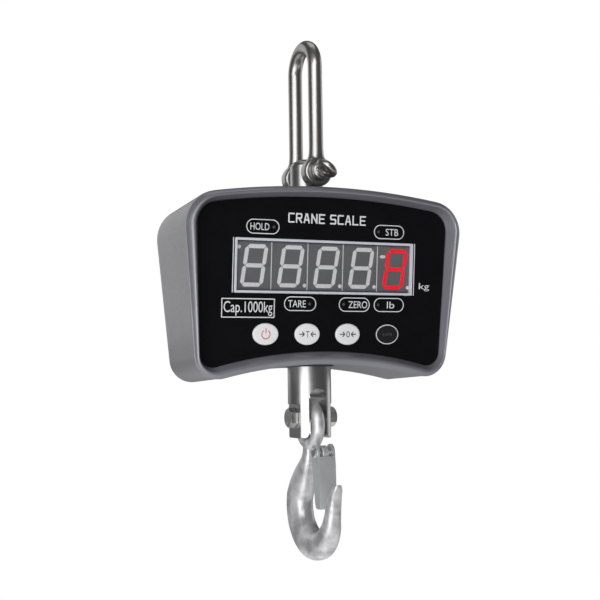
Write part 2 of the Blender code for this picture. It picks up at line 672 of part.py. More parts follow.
def build_display():
    """Light trim, clear lens and five seven-segment modules behind it."""
    width, height = DISPLAY_SIZE
    centre = (0.0, DISPLAY_HEIGHT)
    outer = rounded_box_outline(width, height, 0.8 * MM, 2, centre)
    inner = rounded_box_outline(width - 2 * TRIM_WIDTH, height - 2 * TRIM_WIDTH, 0.6 * MM, 2, centre)
    back = -PANEL_THICKNESS
    make_piece("display_trim", loft([on_front(outer, back), on_front(outer, TRIM_PROUD),
                                     on_front(inner, TRIM_PROUD), on_front(inner, back)], ring=True),
               "trim_grey", HOUSING)
    lens = rounded_box_outline(width - 2 * TRIM_WIDTH - 2 * GAP, height - 2 * TRIM_WIDTH - 2 * GAP,
                               0.5 * MM, 2, centre)
    make_piece("display_lens", front_prism(lens, -0.5 * MM - LENS_THICKNESS, -0.5 * MM),
               "lens_clear", HOUSING)
    front = -PANEL_THICKNESS - GAP
    tall = height - 2 * TRIM_WIDTH - 1.0 * MM
    for i in range(DIGIT_COUNT):
        x = (i - (DIGIT_COUNT - 1) / 2) * DIGIT_PITCH
        module = rounded_box_outline(DIGIT_PITCH - 0.4 * MM, tall, 0.5 * MM, 1, (x, DISPLAY_HEIGHT))
        make_piece(f"digit_module_{i + 1}", front_prism(module, front - DIGIT_DEPTH, front),
                   "digit_grey", HOUSING)


def button_places():
    return [BUTTON_FIRST + i * BUTTON_PITCH for i in range(4)]


def build_buttons():
    """Oval caps held behind the panel by a flange, each with a stem over its switch."""
    names = ("power_button", "tare_button", "zero_button", "spare_button")
    width, height = BUTTON_SIZE
    for name, x, axis in zip(names, button_places(), BUTTON_AXES):
        flange = shifted(oval(width + 2.4 * MM, height + 2.4 * MM), x, BUTTON_HEIGHT)
        body = shifted(oval(width, height), x, BUTTON_HEIGHT)
        crown = shifted(oval(width - 1.6 * MM, height - 1.6 * MM), x, BUTTON_HEIGHT)
        top = -PANEL_THICKNESS - GAP
        loops = [on_front(flange, top - BUTTON_FLANGE), on_front(flange, top), on_front(body, top),
                 on_front(body, BUTTON_PROUD - 0.5 * MM), on_front(crown, BUTTON_PROUD)]
        finish = "button_black" if name == "spare_button" else "button_white"
        button = make_piece(name, loft(loops), finish, axis)
        tip = switch_tip() + BUTTON_TRAVEL + 2 * GAP
        stem = front_turned([(2.0 * MM, tip), (2.0 * MM, -PANEL_THICKNESS - 0.5 * MM)], x, BUTTON_HEIGHT, 12)
        join(button, stem)


def switch_tip():
    """Depth of the top of a key switch's plunger, measured from the panel's face."""
    return -BOARD_DEPTH + 4.3 * MM


def build_display_board():
    """Board behind the display, with the key switches and the lamps on it."""
    width, height = BOARD_SIZE
    board = rounded_box_outline(width, height, 3.0 * MM, 2, (0.0, BOARD_CENTRE))
    plate = front_prism(board, -BOARD_DEPTH - BOARD_THICKNESS, -BOARD_DEPTH)
    make_piece("display_board", plate, "board_green", HOUSING)
    for name, x in zip(("power", "tare", "zero", "spare"), button_places()):
        base = rounded_box_outline(6.0 * MM, 6.0 * MM, 0.5 * MM, 1, (x, BUTTON_HEIGHT))
        low = -BOARD_DEPTH + GAP
        switch = make_piece(f"{name}_switch", front_prism(base, low, switch_tip() - 0.8 * MM),
                            "plastic_dark", HOUSING)
        plunger = [(1.6 * MM, low + 1.0 * MM), (1.6 * MM, switch_tip())]
        join(switch, front_turned(plunger, x, BUTTON_HEIGHT, 12))
    radius = LAMP_DIA / 2
    for name, (x, z) in LAMPS.items():
        low = -BOARD_DEPTH + GAP
        dome = [(radius, low), (radius, -1.6 * MM), (radius * 0.8, -0.8 * MM), (radius * 0.4, -0.4 * MM)]
        make_piece(name, front_turned(dome, x, z, 10), "lamp_red", HOUSING)


def build_rear_details():
    """Battery and its door, charging socket, and the screws that close the rear shell."""
    width, depth, height = BATTERY_SIZE
    centre_z = DATUM_Z + BATTERY_HEIGHT
    door_back = REAR_DEPTH - DOOR_THICKNESS
    low = INSIDE_Y - GAP - depth
    pack = rounded_box_outline(width, height, 3.0 * MM, 3, (0.0, centre_z))
    make_piece("battery_pack", prism(pack, low, low + depth, "Y"), "battery_blue", HOUSING)
    plate = rounded_box_outline(DOOR_SIZE[0], DOOR_SIZE[1], 4.0 * MM, centre=(0.0, centre_z))
    door = make_piece("battery_door", prism(plate, door_back, REAR_DEPTH, "Y"), "housing_paint", HOUSING)
    for i, x in enumerate(door_screw_places()):
        cut(door, rear_screw(screw_way(DOOR_SCREW, SCREW_PASS), x, BATTERY_HEIGHT))
        make_piece(f"door_screw_{i + 1}", rear_screw(screw_profile(DOOR_SCREW), x, BATTERY_HEIGHT),
                   "steel_zinc", HOUSING)
    for i, (x, z) in enumerate(post_places()):
        screw = rear_screw(screw_profile(CASE_SCREW), x, z)
        make_piece(f"housing_screw_{i + 1}", screw, "steel_zinc", HOUSING)
    x, z = SOCKET_PLACE
    centre = (x, 0.0, DATUM_Z + z)
    face = REAR_DEPTH - SOCKET_SINK
    back = face - SOCKET_LENGTH
    outer, bore, pin = SOCKET_DIA / 2, SOCKET_BORE / 2, 1.0 * MM
    floor = back + 2.0 * MM
    socket = turned([(outer, back), (outer, face), (bore, face), (bore, floor), (pin, floor),
                     (pin, face - pin)], "Y", centre, 20)
    make_piece("charging_socket", socket, "plastic_dark", HOUSING)


def build_seals():
    """Rubber rings where the load cell's lug and the clevis pass through the shell."""
    inner = LUG_DIA / 2 + GAP
    top = DATUM_Z + TOP_HEIGHT + TOP_SEAL_PROUD
    low = top - TOP_SEAL_HEIGHT
    profile = [(inner, low), (inner + SEAL_WALL - GAP, low), (inner + SEAL_WALL - GAP, top), (inner, top)]
    make_piece("top_seal", turned(profile, sides=28, ring=True), "rubber_black", HOUSING)
    inner = CLEVIS_DIA / 2 + 2 * GAP
    top = DATUM_Z - BOTTOM_DEPTH + BOTTOM_SEAL_RISE
    low = top - BOTTOM_SEAL_HEIGHT
    profile = [(inner, low), (inner + SEAL_WALL - GAP, low), (inner + SEAL_WALL - GAP, top), (inner, top)]
    make_piece("bottom_seal", turned(profile, sides=28, ring=True), "rubber_black", HOUSING)


def build_load_cell():
    """Steel block on the load axis: round lug above, gauge bore in the middle, nut room below."""
    half_x, half_y = CELL_SIZE[0] / 2, CELL_SIZE[1] / 2
    block = box((-half_x, -half_y, DATUM_Z + CELL_BOTTOM), (half_x, half_y, DATUM_Z + CELL_TOP))
    cell = make_piece("load_cell", block, "cell_aluminium", HOUSING)
    radius = LUG_DIA / 2
    dome_top = PIN_Z + LUG_ABOVE_PIN
    lug = [(radius, DATUM_Z + CELL_TOP - 4.0 * MM), (radius, dome_top - 6.0 * MM)]
    for share in (30, 55, 78):
        lug.append((radius * cos(radians(share)), dome_top - 6.0 * MM + 6.0 * MM * sin(radians(share))))
    join(cell, turned(lug, sides=32))
    width, height = NUT_ROOM
    floor = DATUM_Z + NUT_ROOM_FLOOR
    deep = half_y + 2.0 * MM
    cut(cell,
        rod(PIN_DIA / 2 + GAP, -deep, deep, "Y", (0.0, 0.0, PIN_Z), 24),
        rod(GAUGE_BORE / 2, -deep, deep, "Y", (0.0, 0.0, DATUM_Z + GAUGE_HEIGHT), 24),
        box((-width / 2, -deep, floor), (width / 2, deep, floor + height)),
        rod(STEM_DIA / 2 + GAP, DATUM_Z + CELL_BOTTOM - 2.0 * MM, floor + 2.0 * MM, sides=24))
    for z in SPACER_HEIGHTS:
        cut(cell, rod(CASE_SCREW[1] + GAP, half_y - CELL_SCREW_GRIP - GAP, deep, "Y",
                      (0.0, 0.0, DATUM_Z + z), 12))
    make_piece("gauge_potting",
               rod(GAUGE_BORE / 2 - GAP, -half_y + 1.0 * MM, half_y - 1.0 * MM, "Y",
                   (0.0, 0.0, DATUM_Z + GAUGE_HEIGHT), 24), "potting_white", HOUSING)
    wall = INSIDE_Y - GAP
    for i, z in enumerate(SPACER_HEIGHTS):
        centre = (0.0, 0.0, DATUM_Z + z)
        make_piece(f"cell_spacer_{i + 1}",
                   tube(CASE_SCREW[1] + GAP, SPACER_DIA / 2, half_y + GAP, wall, "Y", centre, 16),
                   "steel_zinc", HOUSING)
        length = REAR_DEPTH - half_y + CELL_SCREW_GRIP
        screw = rear_screw(screw_profile((CASE_SCREW[0], CASE_SCREW[1], length)), 0.0, z)
        make_piece(f"cell_screw_{i + 1}", screw, "steel_zinc", HOUSING)


def build_main_board():
    """Main board at the left with its buzzer, and the leads to the gauge and the battery."""
    x, front, height = MAIN_BOARD_PLACE
    centre_z = DATUM_Z + height
    board = rounded_box_outline(*MAIN_BOARD, 2.0 * MM, 2, (x, centre_z))
    make_piece("main_board", prism(board, front, front + BOARD_THICKNESS, "Y"), "board_green", HOUSING)
    buzzer = rod(BUZZER_DIA / 2, front - GAP - BUZZER_HEIGHT, front - GAP, "Y",
                 (x + BUZZER_PLACE[0], 0.0, centre_z + BUZZER_PLACE[1]), 16)
    make_piece("buzzer", buzzer, "plastic_dark", HOUSING)
    gauge = DATUM_Z + GAUGE_HEIGHT
    start, edge = -CELL_SIZE[1] / 2, -CELL_SIZE[0] / 2
    lead = [(0.0, start + 0.1 * MM, gauge), (-0.2 * MM, start - 1.4 * MM, gauge),
            (edge + 8.0 * MM, start - 2.2 * MM, gauge + 1.0 * MM),
            (edge - 3.4 * MM, start - 1.4 * MM, gauge - 1.0 * MM),
            (edge - 8.0 * MM, 0.0, gauge - 6.0 * MM), (edge - 16.0 * MM, 8.0 * MM, gauge - 8.0 * MM),
            (edge - 25.0 * MM, front - 1.6 * MM, gauge - 8.0 * MM)]
    make_piece("gauge_lead", tube_along(lead, LEAD_DIA / 2), "rubber_black", HOUSING)


# ---------------------------------------------------------------- swivel and clevis

def build_bearing():
    """Thrust bearing in the load cell's nut room: fixed race, caged balls, turning race and nut."""
    inner = STEM_DIA / 2 + GAP
    outer = RACE_DIA / 2
    make_piece("lower_race", tube(inner, outer, RACE_Z, RACE_Z + RACE_THICKNESS), "steel_turned", HOUSING)
    ball_z = RACE_Z + RACE_THICKNESS + GAP + BALL_DIA / 2
    mid = (inner + outer) / 2
    cage = make_piece("ball_cage", tube(mid - 2.4 * MM, mid + 2.4 * MM, ball_z - 0.7 * MM, ball_z + 0.7 * MM),
                      "steel_turned", SWIVEL)
    ball = [(BALL_DIA / 2 * cos(radians(t)), BALL_DIA / 2 * sin(radians(t))) for t in (-68, -24, 24, 68)]
    for i in range(BALL_COUNT):
        turn = 2 * pi * i / BALL_COUNT
        join(cage, turned(ball, "Z", (mid * cos(turn), mid * sin(turn), ball_z), 6))
    race = ball_z + BALL_DIA / 2 + GAP
    make_piece("upper_race", tube(inner, outer, race, race + RACE_THICKNESS), "steel_turned", SWIVEL)
    nut_low = race + RACE_THICKNESS + GAP
    nut = make_piece("swivel_nut", prism(hexagon(SWIVEL_NUT_FLATS), nut_low, nut_low + SWIVEL_NUT_HEIGHT),
                     "steel_zinc", SWIVEL)
    cut(nut, rod(inner, nut_low - 1.0 * MM, nut_low + SWIVEL_NUT_HEIGHT + 1.0 * MM))
    return nut_low + SWIVEL_NUT_HEIGHT


def build_clevis(stem_top):
    """Round clevis with a stem above, flats for the bolt and an arched slot for the hook's eye."""
    radius = CLEVIS_DIA / 2
    edge = 1.2 * MM
    stem = STEM_DIA / 2
    profile = [(radius - edge, CLEVIS_FOOT_Z), (radius, CLEVIS_FOOT_Z + edge), (radius, CLEVIS_TOP_Z - edge),
               (radius - edge, CLEVIS_TOP_Z), (stem, CLEVIS_TOP_Z), (stem, stem_top),
               (stem - edge, stem_top + edge)]
    clevis = make_piece("clevis", turned(profile, sides=32), "steel_turned", SWIVEL)
    half = SLOT_WIDTH / 2
    arch_z = CLEVIS_FOOT_Z + SLOT_HEIGHT - half
    chamfer = 2.6 * MM
    slot = [(-half - 2 * chamfer, CLEVIS_FOOT_Z - chamfer), (-half, CLEVIS_FOOT_Z + chamfer)]
    steps = 8
    for i in range(steps + 1):
        turn = pi - pi * i / steps
        slot.append((half * cos(turn), arch_z + half * sin(turn)))
    slot += [(half, CLEVIS_FOOT_Z + chamfer), (half + 2 * chamfer, CLEVIS_FOOT_Z - chamfer)]
    reach = radius + 2.0 * MM
    cut(clevis, prism(slot, -reach, reach, "Y"))
    flat = CLEVIS_FLATS / 2
    flat_top = BOLT_Z + BOLT_HEAD_FLATS / sqrt(3) + 2.5 * MM
    for side in (-1, 1):
        near, far = sorted((side * flat, side * reach))
        cut(clevis, box((near, -reach, CLEVIS_FOOT_Z - 2.0 * MM), (far, reach, flat_top)))
    cut(clevis, rod(BOLT_DIA / 2 + GAP, -reach, reach, "X", (0.0, 0.0, BOLT_Z), 20))


def build_clevis_bolt():
    flat = CLEVIS_FLATS / 2
    head = -flat - GAP
    end = flat + GAP + LOCK_NUT_HEIGHT + 1.6 * MM
    bolt = make_piece("clevis_bolt",
                      rod(BOLT_DIA / 2, head - 1.0 * MM, end, "X", (0.0, 0.0, BOLT_Z), 20, 0.6 * MM),
                      "steel_zinc", SWIVEL)
    hexes = shifted(hexagon(BOLT_HEAD_FLATS), 0.0, BOLT_Z)
    join(bolt, prism(hexes, head - BOLT_HEAD_HEIGHT, head, "X"))
    nut = make_piece("lock_nut", prism(hexes, flat + GAP, flat + GAP + LOCK_NUT_HEIGHT, "X"),
                     "steel_zinc", SWIVEL)
    cut(nut, rod(BOLT_DIA / 2 + GAP, flat - 2.0 * MM, end + 2.0 * MM, "X", (0.0, 0.0, BOLT_Z), 20))


# ---------------------------------------------------------------- hook and latch

def hook_stations():
    """Sections down the hook: centre (y, z), outward direction, half depth and half thickness."""
    neck = [((0.4, -22.0), -12, 5.2, 5.0), ((1.6, -28.0), -12, 5.2, 5.2), ((4.6, -34.5), -32, 7.0, 6.0),
            ((9.6, -42.0), -36, 9.6, 7.0), ((15.2, -51.0), -30, 11.8, 8.0)]
    stations = []
    for (y, z), turn, deep, thick in neck:
        stations.append((y * MM, z * MM, radians(-turn), deep * MM, thick * MM))
    bowl = [(-10, 44.7, 25.2, 8.4), (12, 44.5, 25.5, 8.5), (32, 43.1, 25.0, 8.6), (52, 40.9, 23.8, 8.6),
            (72, 38.7, 22.2, 8.5), (92, 37.1, 20.8, 8.4), (112, 35.3, 19.0, 8.1), (132, 33.3, 16.6, 7.6),
            (152, 31.7, 13.8, 6.8), (170, 30.5, 11.6, 5.9)]
    for turn, outer, deep, thick in bowl:
        middle = (outer - deep / 2) * MM
        y = BOWL_CENTRE[0] + middle * cos(radians(turn))
        z = BOWL_CENTRE[1] - middle * sin(radians(turn))
        stations.append((y, z, radians(-turn), deep * MM / 2, thick * MM))
    tip = [((-39.4, -57.0), 186, 5.1, 4.9), ((-43.0, -50.5), 194, 4.2, 4.0), ((-45.4, -46.6), 205, 2.6, 2.6)]
    for (y, z), turn, deep, thick in tip:
        stations.append((y * MM, z * MM, radians(-turn), deep * MM, thick * MM))
    return stations


def build_hook():
    """Forged eye hook: a round eye, a deep bowl section that thins to the tip, and a latch lug."""
    sides = 12
    loops = []
    for y, z, turn, deep, thick in hook_stations():
        loop = []
        for i in range(sides):
            t = 2 * pi * i / sides
            squareness = 0.78
            c, s = cos(t), sin(t)
            across = thick * abs(s) ** squareness * (1 if s >= 0 else -1)
            out = deep * abs(c) ** squareness * (1 if c >= 0 else -1)
            loop.append((across, y + out * cos(turn), BOLT_Z + z + out * sin(turn)))
        loops.append(loop)
    hook = make_piece("hook", loft(loops), "steel_zinc", HOOK)
    bar = EYE_BAR / 2
    middle = EYE_INSIDE / 2 + bar
    eye_z = BOLT_Z + BOLT_DIA / 2 + GAP - EYE_INSIDE / 2
    turns = [2 * pi * i / 10 for i in range(10)]
    bar_loop = [(middle + bar * cos(t), bar * sin(t)) for t in turns]
    join(hook, turned(bar_loop, "X", (0.0, 0.0, eye_z), 24, ring=True))
    y, z = LATCH_PIVOT
    lug = [(y + 5.2 * MM * cos(radians(t)), BOLT_Z + z + 5.2 * MM * sin(radians(t)))
           for t in range(60, 301, 30)]
    lug += [(0.0, BOLT_Z + z - 9.0 * MM), (0.0, BOLT_Z + z + 6.0 * MM)]
    join(hook, prism(lug, -LUG_HALF_WIDTH, LUG_HALF_WIDTH, "X"))
    reach = 3 * LUG_HALF_WIDTH
    cut(hook, rod(LATCH_PIN_DIA / 2 + GAP, -reach, reach, "X", (0.0, y, BOLT_Z + z), 16))


def build_latch():
    """Pressed-sheet latch: two lobed cheeks on the pivot joined by a front web."""
    y, z = LATCH_PIVOT
    z += BOLT_Z
    half = LATCH_WIDTH / 2
    lobe = 6.2 * MM
    foot = z - LATCH_LENGTH
    cheek = [(y + lobe * cos(radians(t)), z + lobe * sin(radians(t))) for t in range(-20, 181, 25)]
    cheek += [(y - 7.0 * MM, z - 8.0 * MM), (y - 7.8 * MM, foot), (y - 1.6 * MM, foot),
              (y + 0.8 * MM, foot + 4.0 * MM)]
    near, far = half - LATCH_SHEET, half
    latch = make_piece("latch", prism(cheek, -far, -near, "X"), "steel_zinc", LATCH)
    overlap = LATCH_SHEET / 2
    web = [(y - 6.75 * MM, z - 6.4 * MM), (y - 7.65 * MM, foot + 0.2 * MM),
           (y - 7.65 * MM + LATCH_SHEET, foot + 0.2 * MM), (y - 6.75 * MM + LATCH_SHEET, z - 6.4 * MM)]
    join(latch, prism(cheek, near, far, "X"), prism(web, -near - overlap, near + overlap, "X"))
    cut(latch, rod(LATCH_PIN_DIA / 2 + GAP, -far - 1.0 * MM, far + 1.0 * MM, "X", (0.0, y, z), 16))
    head = far + GAP
    shank = LATCH_PIN_DIA / 2
    wide = shank + 1.6 * MM
    rivet = [(wide - 0.5 * MM, -head - 1.3 * MM), (wide, -head - 0.8 * MM), (wide, -head), (shank, -head),
             (shank, head), (wide, head), (wide, head + 0.8 * MM), (wide - 0.5 * MM, head + 1.3 * MM)]
    make_piece("latch_pin", turned(rivet, "X", (0.0, y, z), 16), "steel_zinc", HOOK)


def build_latch_spring():
    """Torsion spring round the latch pin, between the lug and one cheek."""
    y, z = LATCH_PIVOT
    wire = 0.45 * MM
    start = LUG_HALF_WIDTH + GAP + wire
    end = LATCH_WIDTH / 2 - LATCH_SHEET - GAP - wire
    radius = LATCH_PIN_DIA / 2 + GAP + wire
    turns = (end - start) / (2 * wire + GAP)
    points = []
    count = int(turns * 6)
    for i in range(count + 1):
        t = 2 * pi * turns * i / count
        points.append((start + (end - start) * i / count, y + radius * cos(t), BOLT_Z + z + radius * sin(t)))
    make_piece("latch_spring", tube_along(points, wire, 5), "steel_zinc", HOOK)


# ---------------------------------------------------------------- assembly

clear_scene()
HOUSING = make_axis("housing_axis", (0.0, 0.0, PIN_Z))
SWIVEL = make_axis("swivel_axis", (0.0, 0.0, CLEVIS_TOP_Z), HOUSING)
HOOK = make_axis("hook_axis", (0.0, 0.0, BOLT_Z), SWIVEL)
LATCH = make_axis("latch_axis", (0.0, LATCH_PIVOT[0], BOLT_Z + LATCH_PIVOT[1]), HOOK)
BUTTON_AXES = [make_axis(f"button_axis_{i + 1}", FRONT @ Vector((x, 0.0, BUTTON_HEIGHT)), HOUSING)
               for i, x in enumerate(button_places())]

build_shackle()
build_shackle_pin()
build_rear_shell()
build_front_frame()
build_gasket()
build_panel()
build_display()
build_buttons()
build_display_board()
build_rear_details()
build_seals()
build_load_cell()
build_main_board()
stem_end = build_bearing()
build_clevis(stem_end + 1.0 * MM)
build_clevis_bolt()
build_hook()
build_latch()
build_latch_spring()
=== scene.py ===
"""Crane scale: detailed pieces, materials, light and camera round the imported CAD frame."""
import json
from math import atan2, cos, hypot, pi, radians, sin, sqrt

import bmesh
import bpy
from mathutils import Matrix, Vector, noise


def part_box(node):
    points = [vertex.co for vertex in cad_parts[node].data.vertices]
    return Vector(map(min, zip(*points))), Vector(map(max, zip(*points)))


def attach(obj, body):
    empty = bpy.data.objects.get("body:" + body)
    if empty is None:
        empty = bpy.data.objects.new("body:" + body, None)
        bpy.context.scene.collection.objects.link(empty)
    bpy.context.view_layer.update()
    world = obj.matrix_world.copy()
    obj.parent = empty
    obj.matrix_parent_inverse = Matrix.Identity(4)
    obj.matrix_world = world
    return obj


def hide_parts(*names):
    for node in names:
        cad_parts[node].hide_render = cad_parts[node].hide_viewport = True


MM = 0.001
GAP = 0.3 * MM
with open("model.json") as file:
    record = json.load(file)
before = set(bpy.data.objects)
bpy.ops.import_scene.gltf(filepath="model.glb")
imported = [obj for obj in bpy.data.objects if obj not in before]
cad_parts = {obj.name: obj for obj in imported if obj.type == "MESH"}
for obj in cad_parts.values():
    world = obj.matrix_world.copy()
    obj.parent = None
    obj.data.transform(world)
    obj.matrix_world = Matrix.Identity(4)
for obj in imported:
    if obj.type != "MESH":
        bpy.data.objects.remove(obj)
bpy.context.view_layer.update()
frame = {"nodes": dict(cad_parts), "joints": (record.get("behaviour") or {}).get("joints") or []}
joints = {joint["name"]: joint for joint in frame["joints"]}
nodes = frame["nodes"]

PIN_Z = joints["shackle_swing"]["pos_m"][2]
DATUM_Z = PIN_Z - 95.3 * MM
CLEVIS_TOP = joints["swivel_turn"]["pos_m"][2]
BOLT_Z = joints["hook_swing"]["pos_m"][2]
LATCH_Y, LATCH_Z = joints["latch_pivot"]["pos_m"][1:]
PRESS = joints["power_button_press"]["axis"]
TILT = atan2(PRESS[2], PRESS[1])
FACE_DEPTH = 30.4 * MM
REAR = 32.6 * MM
PIN_BORE = 5.3 * MM
LATCH_BORE = 2.3 * MM
FLAT = 12.2 * MM
BOLT_BORE = 4.3 * MM
BOLT_FLATS = 13.0 * MM
BOWL_CENTRE = (-11.5 * MM, -65.5 * MM)
FRONT = Matrix.Translation((0.0, -FACE_DEPTH, DATUM_Z)) @ Matrix.Rotation(TILT, 4, "X")


# ---------------------------------------------------------------- materials

class Look:
    """A Principled material whose colour, roughness and relief come from procedural nodes."""

    def __init__(self, name, metallic=0.0, coat=0.0, specular=0.5):
        self.material = bpy.data.materials.new(name)
        self.material.use_nodes = True
        self.tree = self.material.node_tree
        self.shader = self.tree.nodes["Principled BSDF"]
        self.shader.inputs["Metallic"].default_value = metallic
        self.shader.inputs["Coat Weight"].default_value = coat
        self.shader.inputs["Coat Roughness"].default_value = 0.08
        self.shader.inputs["Specular IOR Level"].default_value = specular
        self.place = self.add("ShaderNodeTexCoord").outputs["Object"]
        self.relief = None

    def add(self, kind, **settings):
        node = self.tree.nodes.new(kind)
        for key, value in settings.items():
            setattr(node, key, value)
        return node

    def link(self, source, target):
        self.tree.links.new(source, target)

    def stretch(self, scale):
        mapping = self.add("ShaderNodeMapping")
        mapping.inputs["Scale"].default_value = scale
        self.link(self.place, mapping.inputs["Vector"])
        return mapping.outputs["Vector"]

    def grain(self, scale, detail=4.0, rough=0.55, stretch=(1, 1, 1)):
        node = self.add("ShaderNodeTexNoise")
        node.inputs["Scale"].default_value = scale
        node.inputs["Detail"].default_value = detail
        node.inputs["Roughness"].default_value = rough
        self.link(self.stretch(stretch), node.inputs["Vector"])
        return node.outputs["Fac"]

    def cells(self, scale, feature="F1", stretch=(1, 1, 1)):
        node = self.add("ShaderNodeTexVoronoi", feature=feature)
        node.inputs["Scale"].default_value = scale
        self.link(self.stretch(stretch), node.inputs["Vector"])
        return node.outputs["Distance"]

    def spread(self, factor, low, high, start=0.3, end=0.7):
        node = self.add("ShaderNodeMapRange")
        self.link(factor, node.inputs["Value"])
        for key, value in (("From Min", start), ("From Max", end), ("To Min", low), ("To Max", high)):
            node.inputs[key].default_value = value
        return node.outputs["Result"]

    def blend(self, factor, first, second):
        node = self.add("ShaderNodeMix", data_type="RGBA")
        self.link(factor, node.inputs[0])
        for value, socket in ((first, node.inputs[6]), (second, node.inputs[7])):
            if isinstance(value, tuple):
                socket.default_value = (*value, 1.0)
            else:
                self.link(value, socket)
        return node.outputs[2]

    def colour(self, source):
        self.link(source, self.shader.inputs["Base Color"])
        return self

    def rough(self, source):
        self.link(source, self.shader.inputs["Roughness"])
        return self

    def bump(self, source, distance, strength=1.0):
        node = self.add("ShaderNodeBump")
        node.inputs["Strength"].default_value = strength
        node.inputs["Distance"].default_value = distance
        self.link(source, node.inputs["Height"])
        if self.relief:
            self.link(self.relief, node.inputs["Normal"])
        self.relief = node.outputs["Normal"]
        self.link(self.relief, self.shader.inputs["Normal"])
        return self


def edge_wear(look, amount=0.55):
    """How exposed a spot is, from the bend of the surface: 0 in the open, 1 on worn edges."""
    geometry = look.add("ShaderNodeNewGeometry")
    return look.spread(geometry.outputs["Pointiness"], 0.0, 1.0, amount - 0.03, amount + 0.06)


def metal(name, dark, light, smooth, rough, scale=60.0, stretch=(1, 1, 1), relief=0.000004,
          metallic=1.0):
    look = Look(name, metallic=metallic)
    fine = look.grain(scale, 5.0, 0.55, stretch)
    wide = look.grain(scale / 9.0, 3.0, 0.5)
    tone = look.blend(look.spread(wide, 0.0, 1.0), dark, light)
    look.colour(look.blend(edge_wear(look), tone, tuple(min(c * 1.1, 1.0) for c in light)))
    look.rough(look.spread(fine, smooth, rough, 0.3, 0.72))
    look.bump(fine, relief)
    return look


def forged_zinc(name):
    look = Look(name, metallic=0.55)
    spangle = look.cells(300.0)
    cloud = look.grain(85.0, 7.0, 0.62)
    wide = look.grain(26.0, 3.0, 0.5)
    tone = look.blend(look.spread(cloud, 0.0, 1.0, 0.40, 0.62), (0.50, 0.50, 0.51), (0.86, 0.86, 0.88))
    tone = look.blend(look.spread(wide, 0.0, 0.45), tone, (0.68, 0.68, 0.70))
    look.colour(look.blend(edge_wear(look, 0.55), tone, (0.97, 0.97, 0.96)))
    look.rough(look.spread(cloud, 0.26, 0.52, 0.3, 0.7))
    look.bump(wide, 0.0012, 0.7).bump(cloud, 0.00050, 0.8).bump(spangle, 0.00006, 0.5)
    return look


def paint(name, dark, light, metallic=0.35, rough=(0.34, 0.46)):
    """Satin metallic paint: a faint orange peel, soft shade changes and slightly rubbed edges."""
    look = Look(name, metallic=metallic, coat=0.18)
    peel = look.grain(420.0, 3.0, 0.5)
    wide = look.grain(14.0, 2.0, 0.5)
    tone = look.blend(look.spread(wide, 0.0, 1.0), dark, light)
    look.colour(look.blend(edge_wear(look, 0.58), tone, tuple(min(c * 1.2, 1.0) for c in light)))
    look.rough(look.spread(peel, *rough, 0.3, 0.7))
    look.bump(peel, 0.000008)
    return look


def plastic(name, dark, light, rough=(0.3, 0.45), scale=300.0, relief=0.00002, coat=0.0, specular=0.5):
    look = Look(name, coat=coat, specular=specular)
    fine = look.grain(scale, 5.0, 0.6)
    wide = look.grain(scale / 14.0, 3.0, 0.5)
    tone = look.blend(look.spread(wide, 0.0, 1.0), dark, light)
    look.colour(look.blend(look.spread(fine, 0.0, 0.4), tone, tuple(min(c * 1.1, 1.0) for c in light)))
    look.rough(look.spread(fine, *rough, 0.3, 0.7))
    look.bump(fine, relief)
    return look


def board(name):
    """Green solder resist with a faint pattern of tracks below it."""
    look = Look(name, coat=0.2)
    tracks = look.cells(160.0, "DISTANCE_TO_EDGE", (1.0, 1.0, 2.2))
    fine = look.grain(900.0, 3.0, 0.5)
    edge = look.spread(tracks, 0.0, 1.0, 0.02, 0.06)
    look.colour(look.blend(edge, (0.06, 0.30, 0.12), (0.015, 0.12, 0.045)))
    look.rough(look.spread(fine, 0.3, 0.5))
    look.bump(tracks, 0.00004)
    return look


def lit(name, colour, glow, strength):
    """Glowing segment plastic, a little uneven as the light below it is. With a faint grey glow it also
    serves the unlit segments, where the glow is painted light and not a lamp.
    """
    look = Look(name, specular=0.15)
    fine = look.grain(700.0, 4.0, 0.6)
    factor = look.spread(fine, 0.0, 1.0)
    look.colour(look.blend(factor, colour, tuple(min(c * 1.2, 1.0) for c in colour)))
    look.rough(look.spread(fine, 0.4, 0.55))
    source = look.blend(factor, glow, tuple(c * 0.85 for c in glow))
    look.link(source, look.shader.inputs["Emission Color"])
    look.shader.inputs["Emission Strength"].default_value = strength
    return look


def clear(name):
    look = Look(name)
    fine = look.grain(200.0, 3.0, 0.5)
    look.colour(look.blend(look.spread(fine, 0.0, 1.0), (0.2, 0.2, 0.21), (0.24, 0.24, 0.25)))
    look.rough(look.spread(fine, 0.06, 0.12))
    look.bump(fine, 0.000004)
    look.shader.inputs["Alpha"].default_value = 0.05
    return look


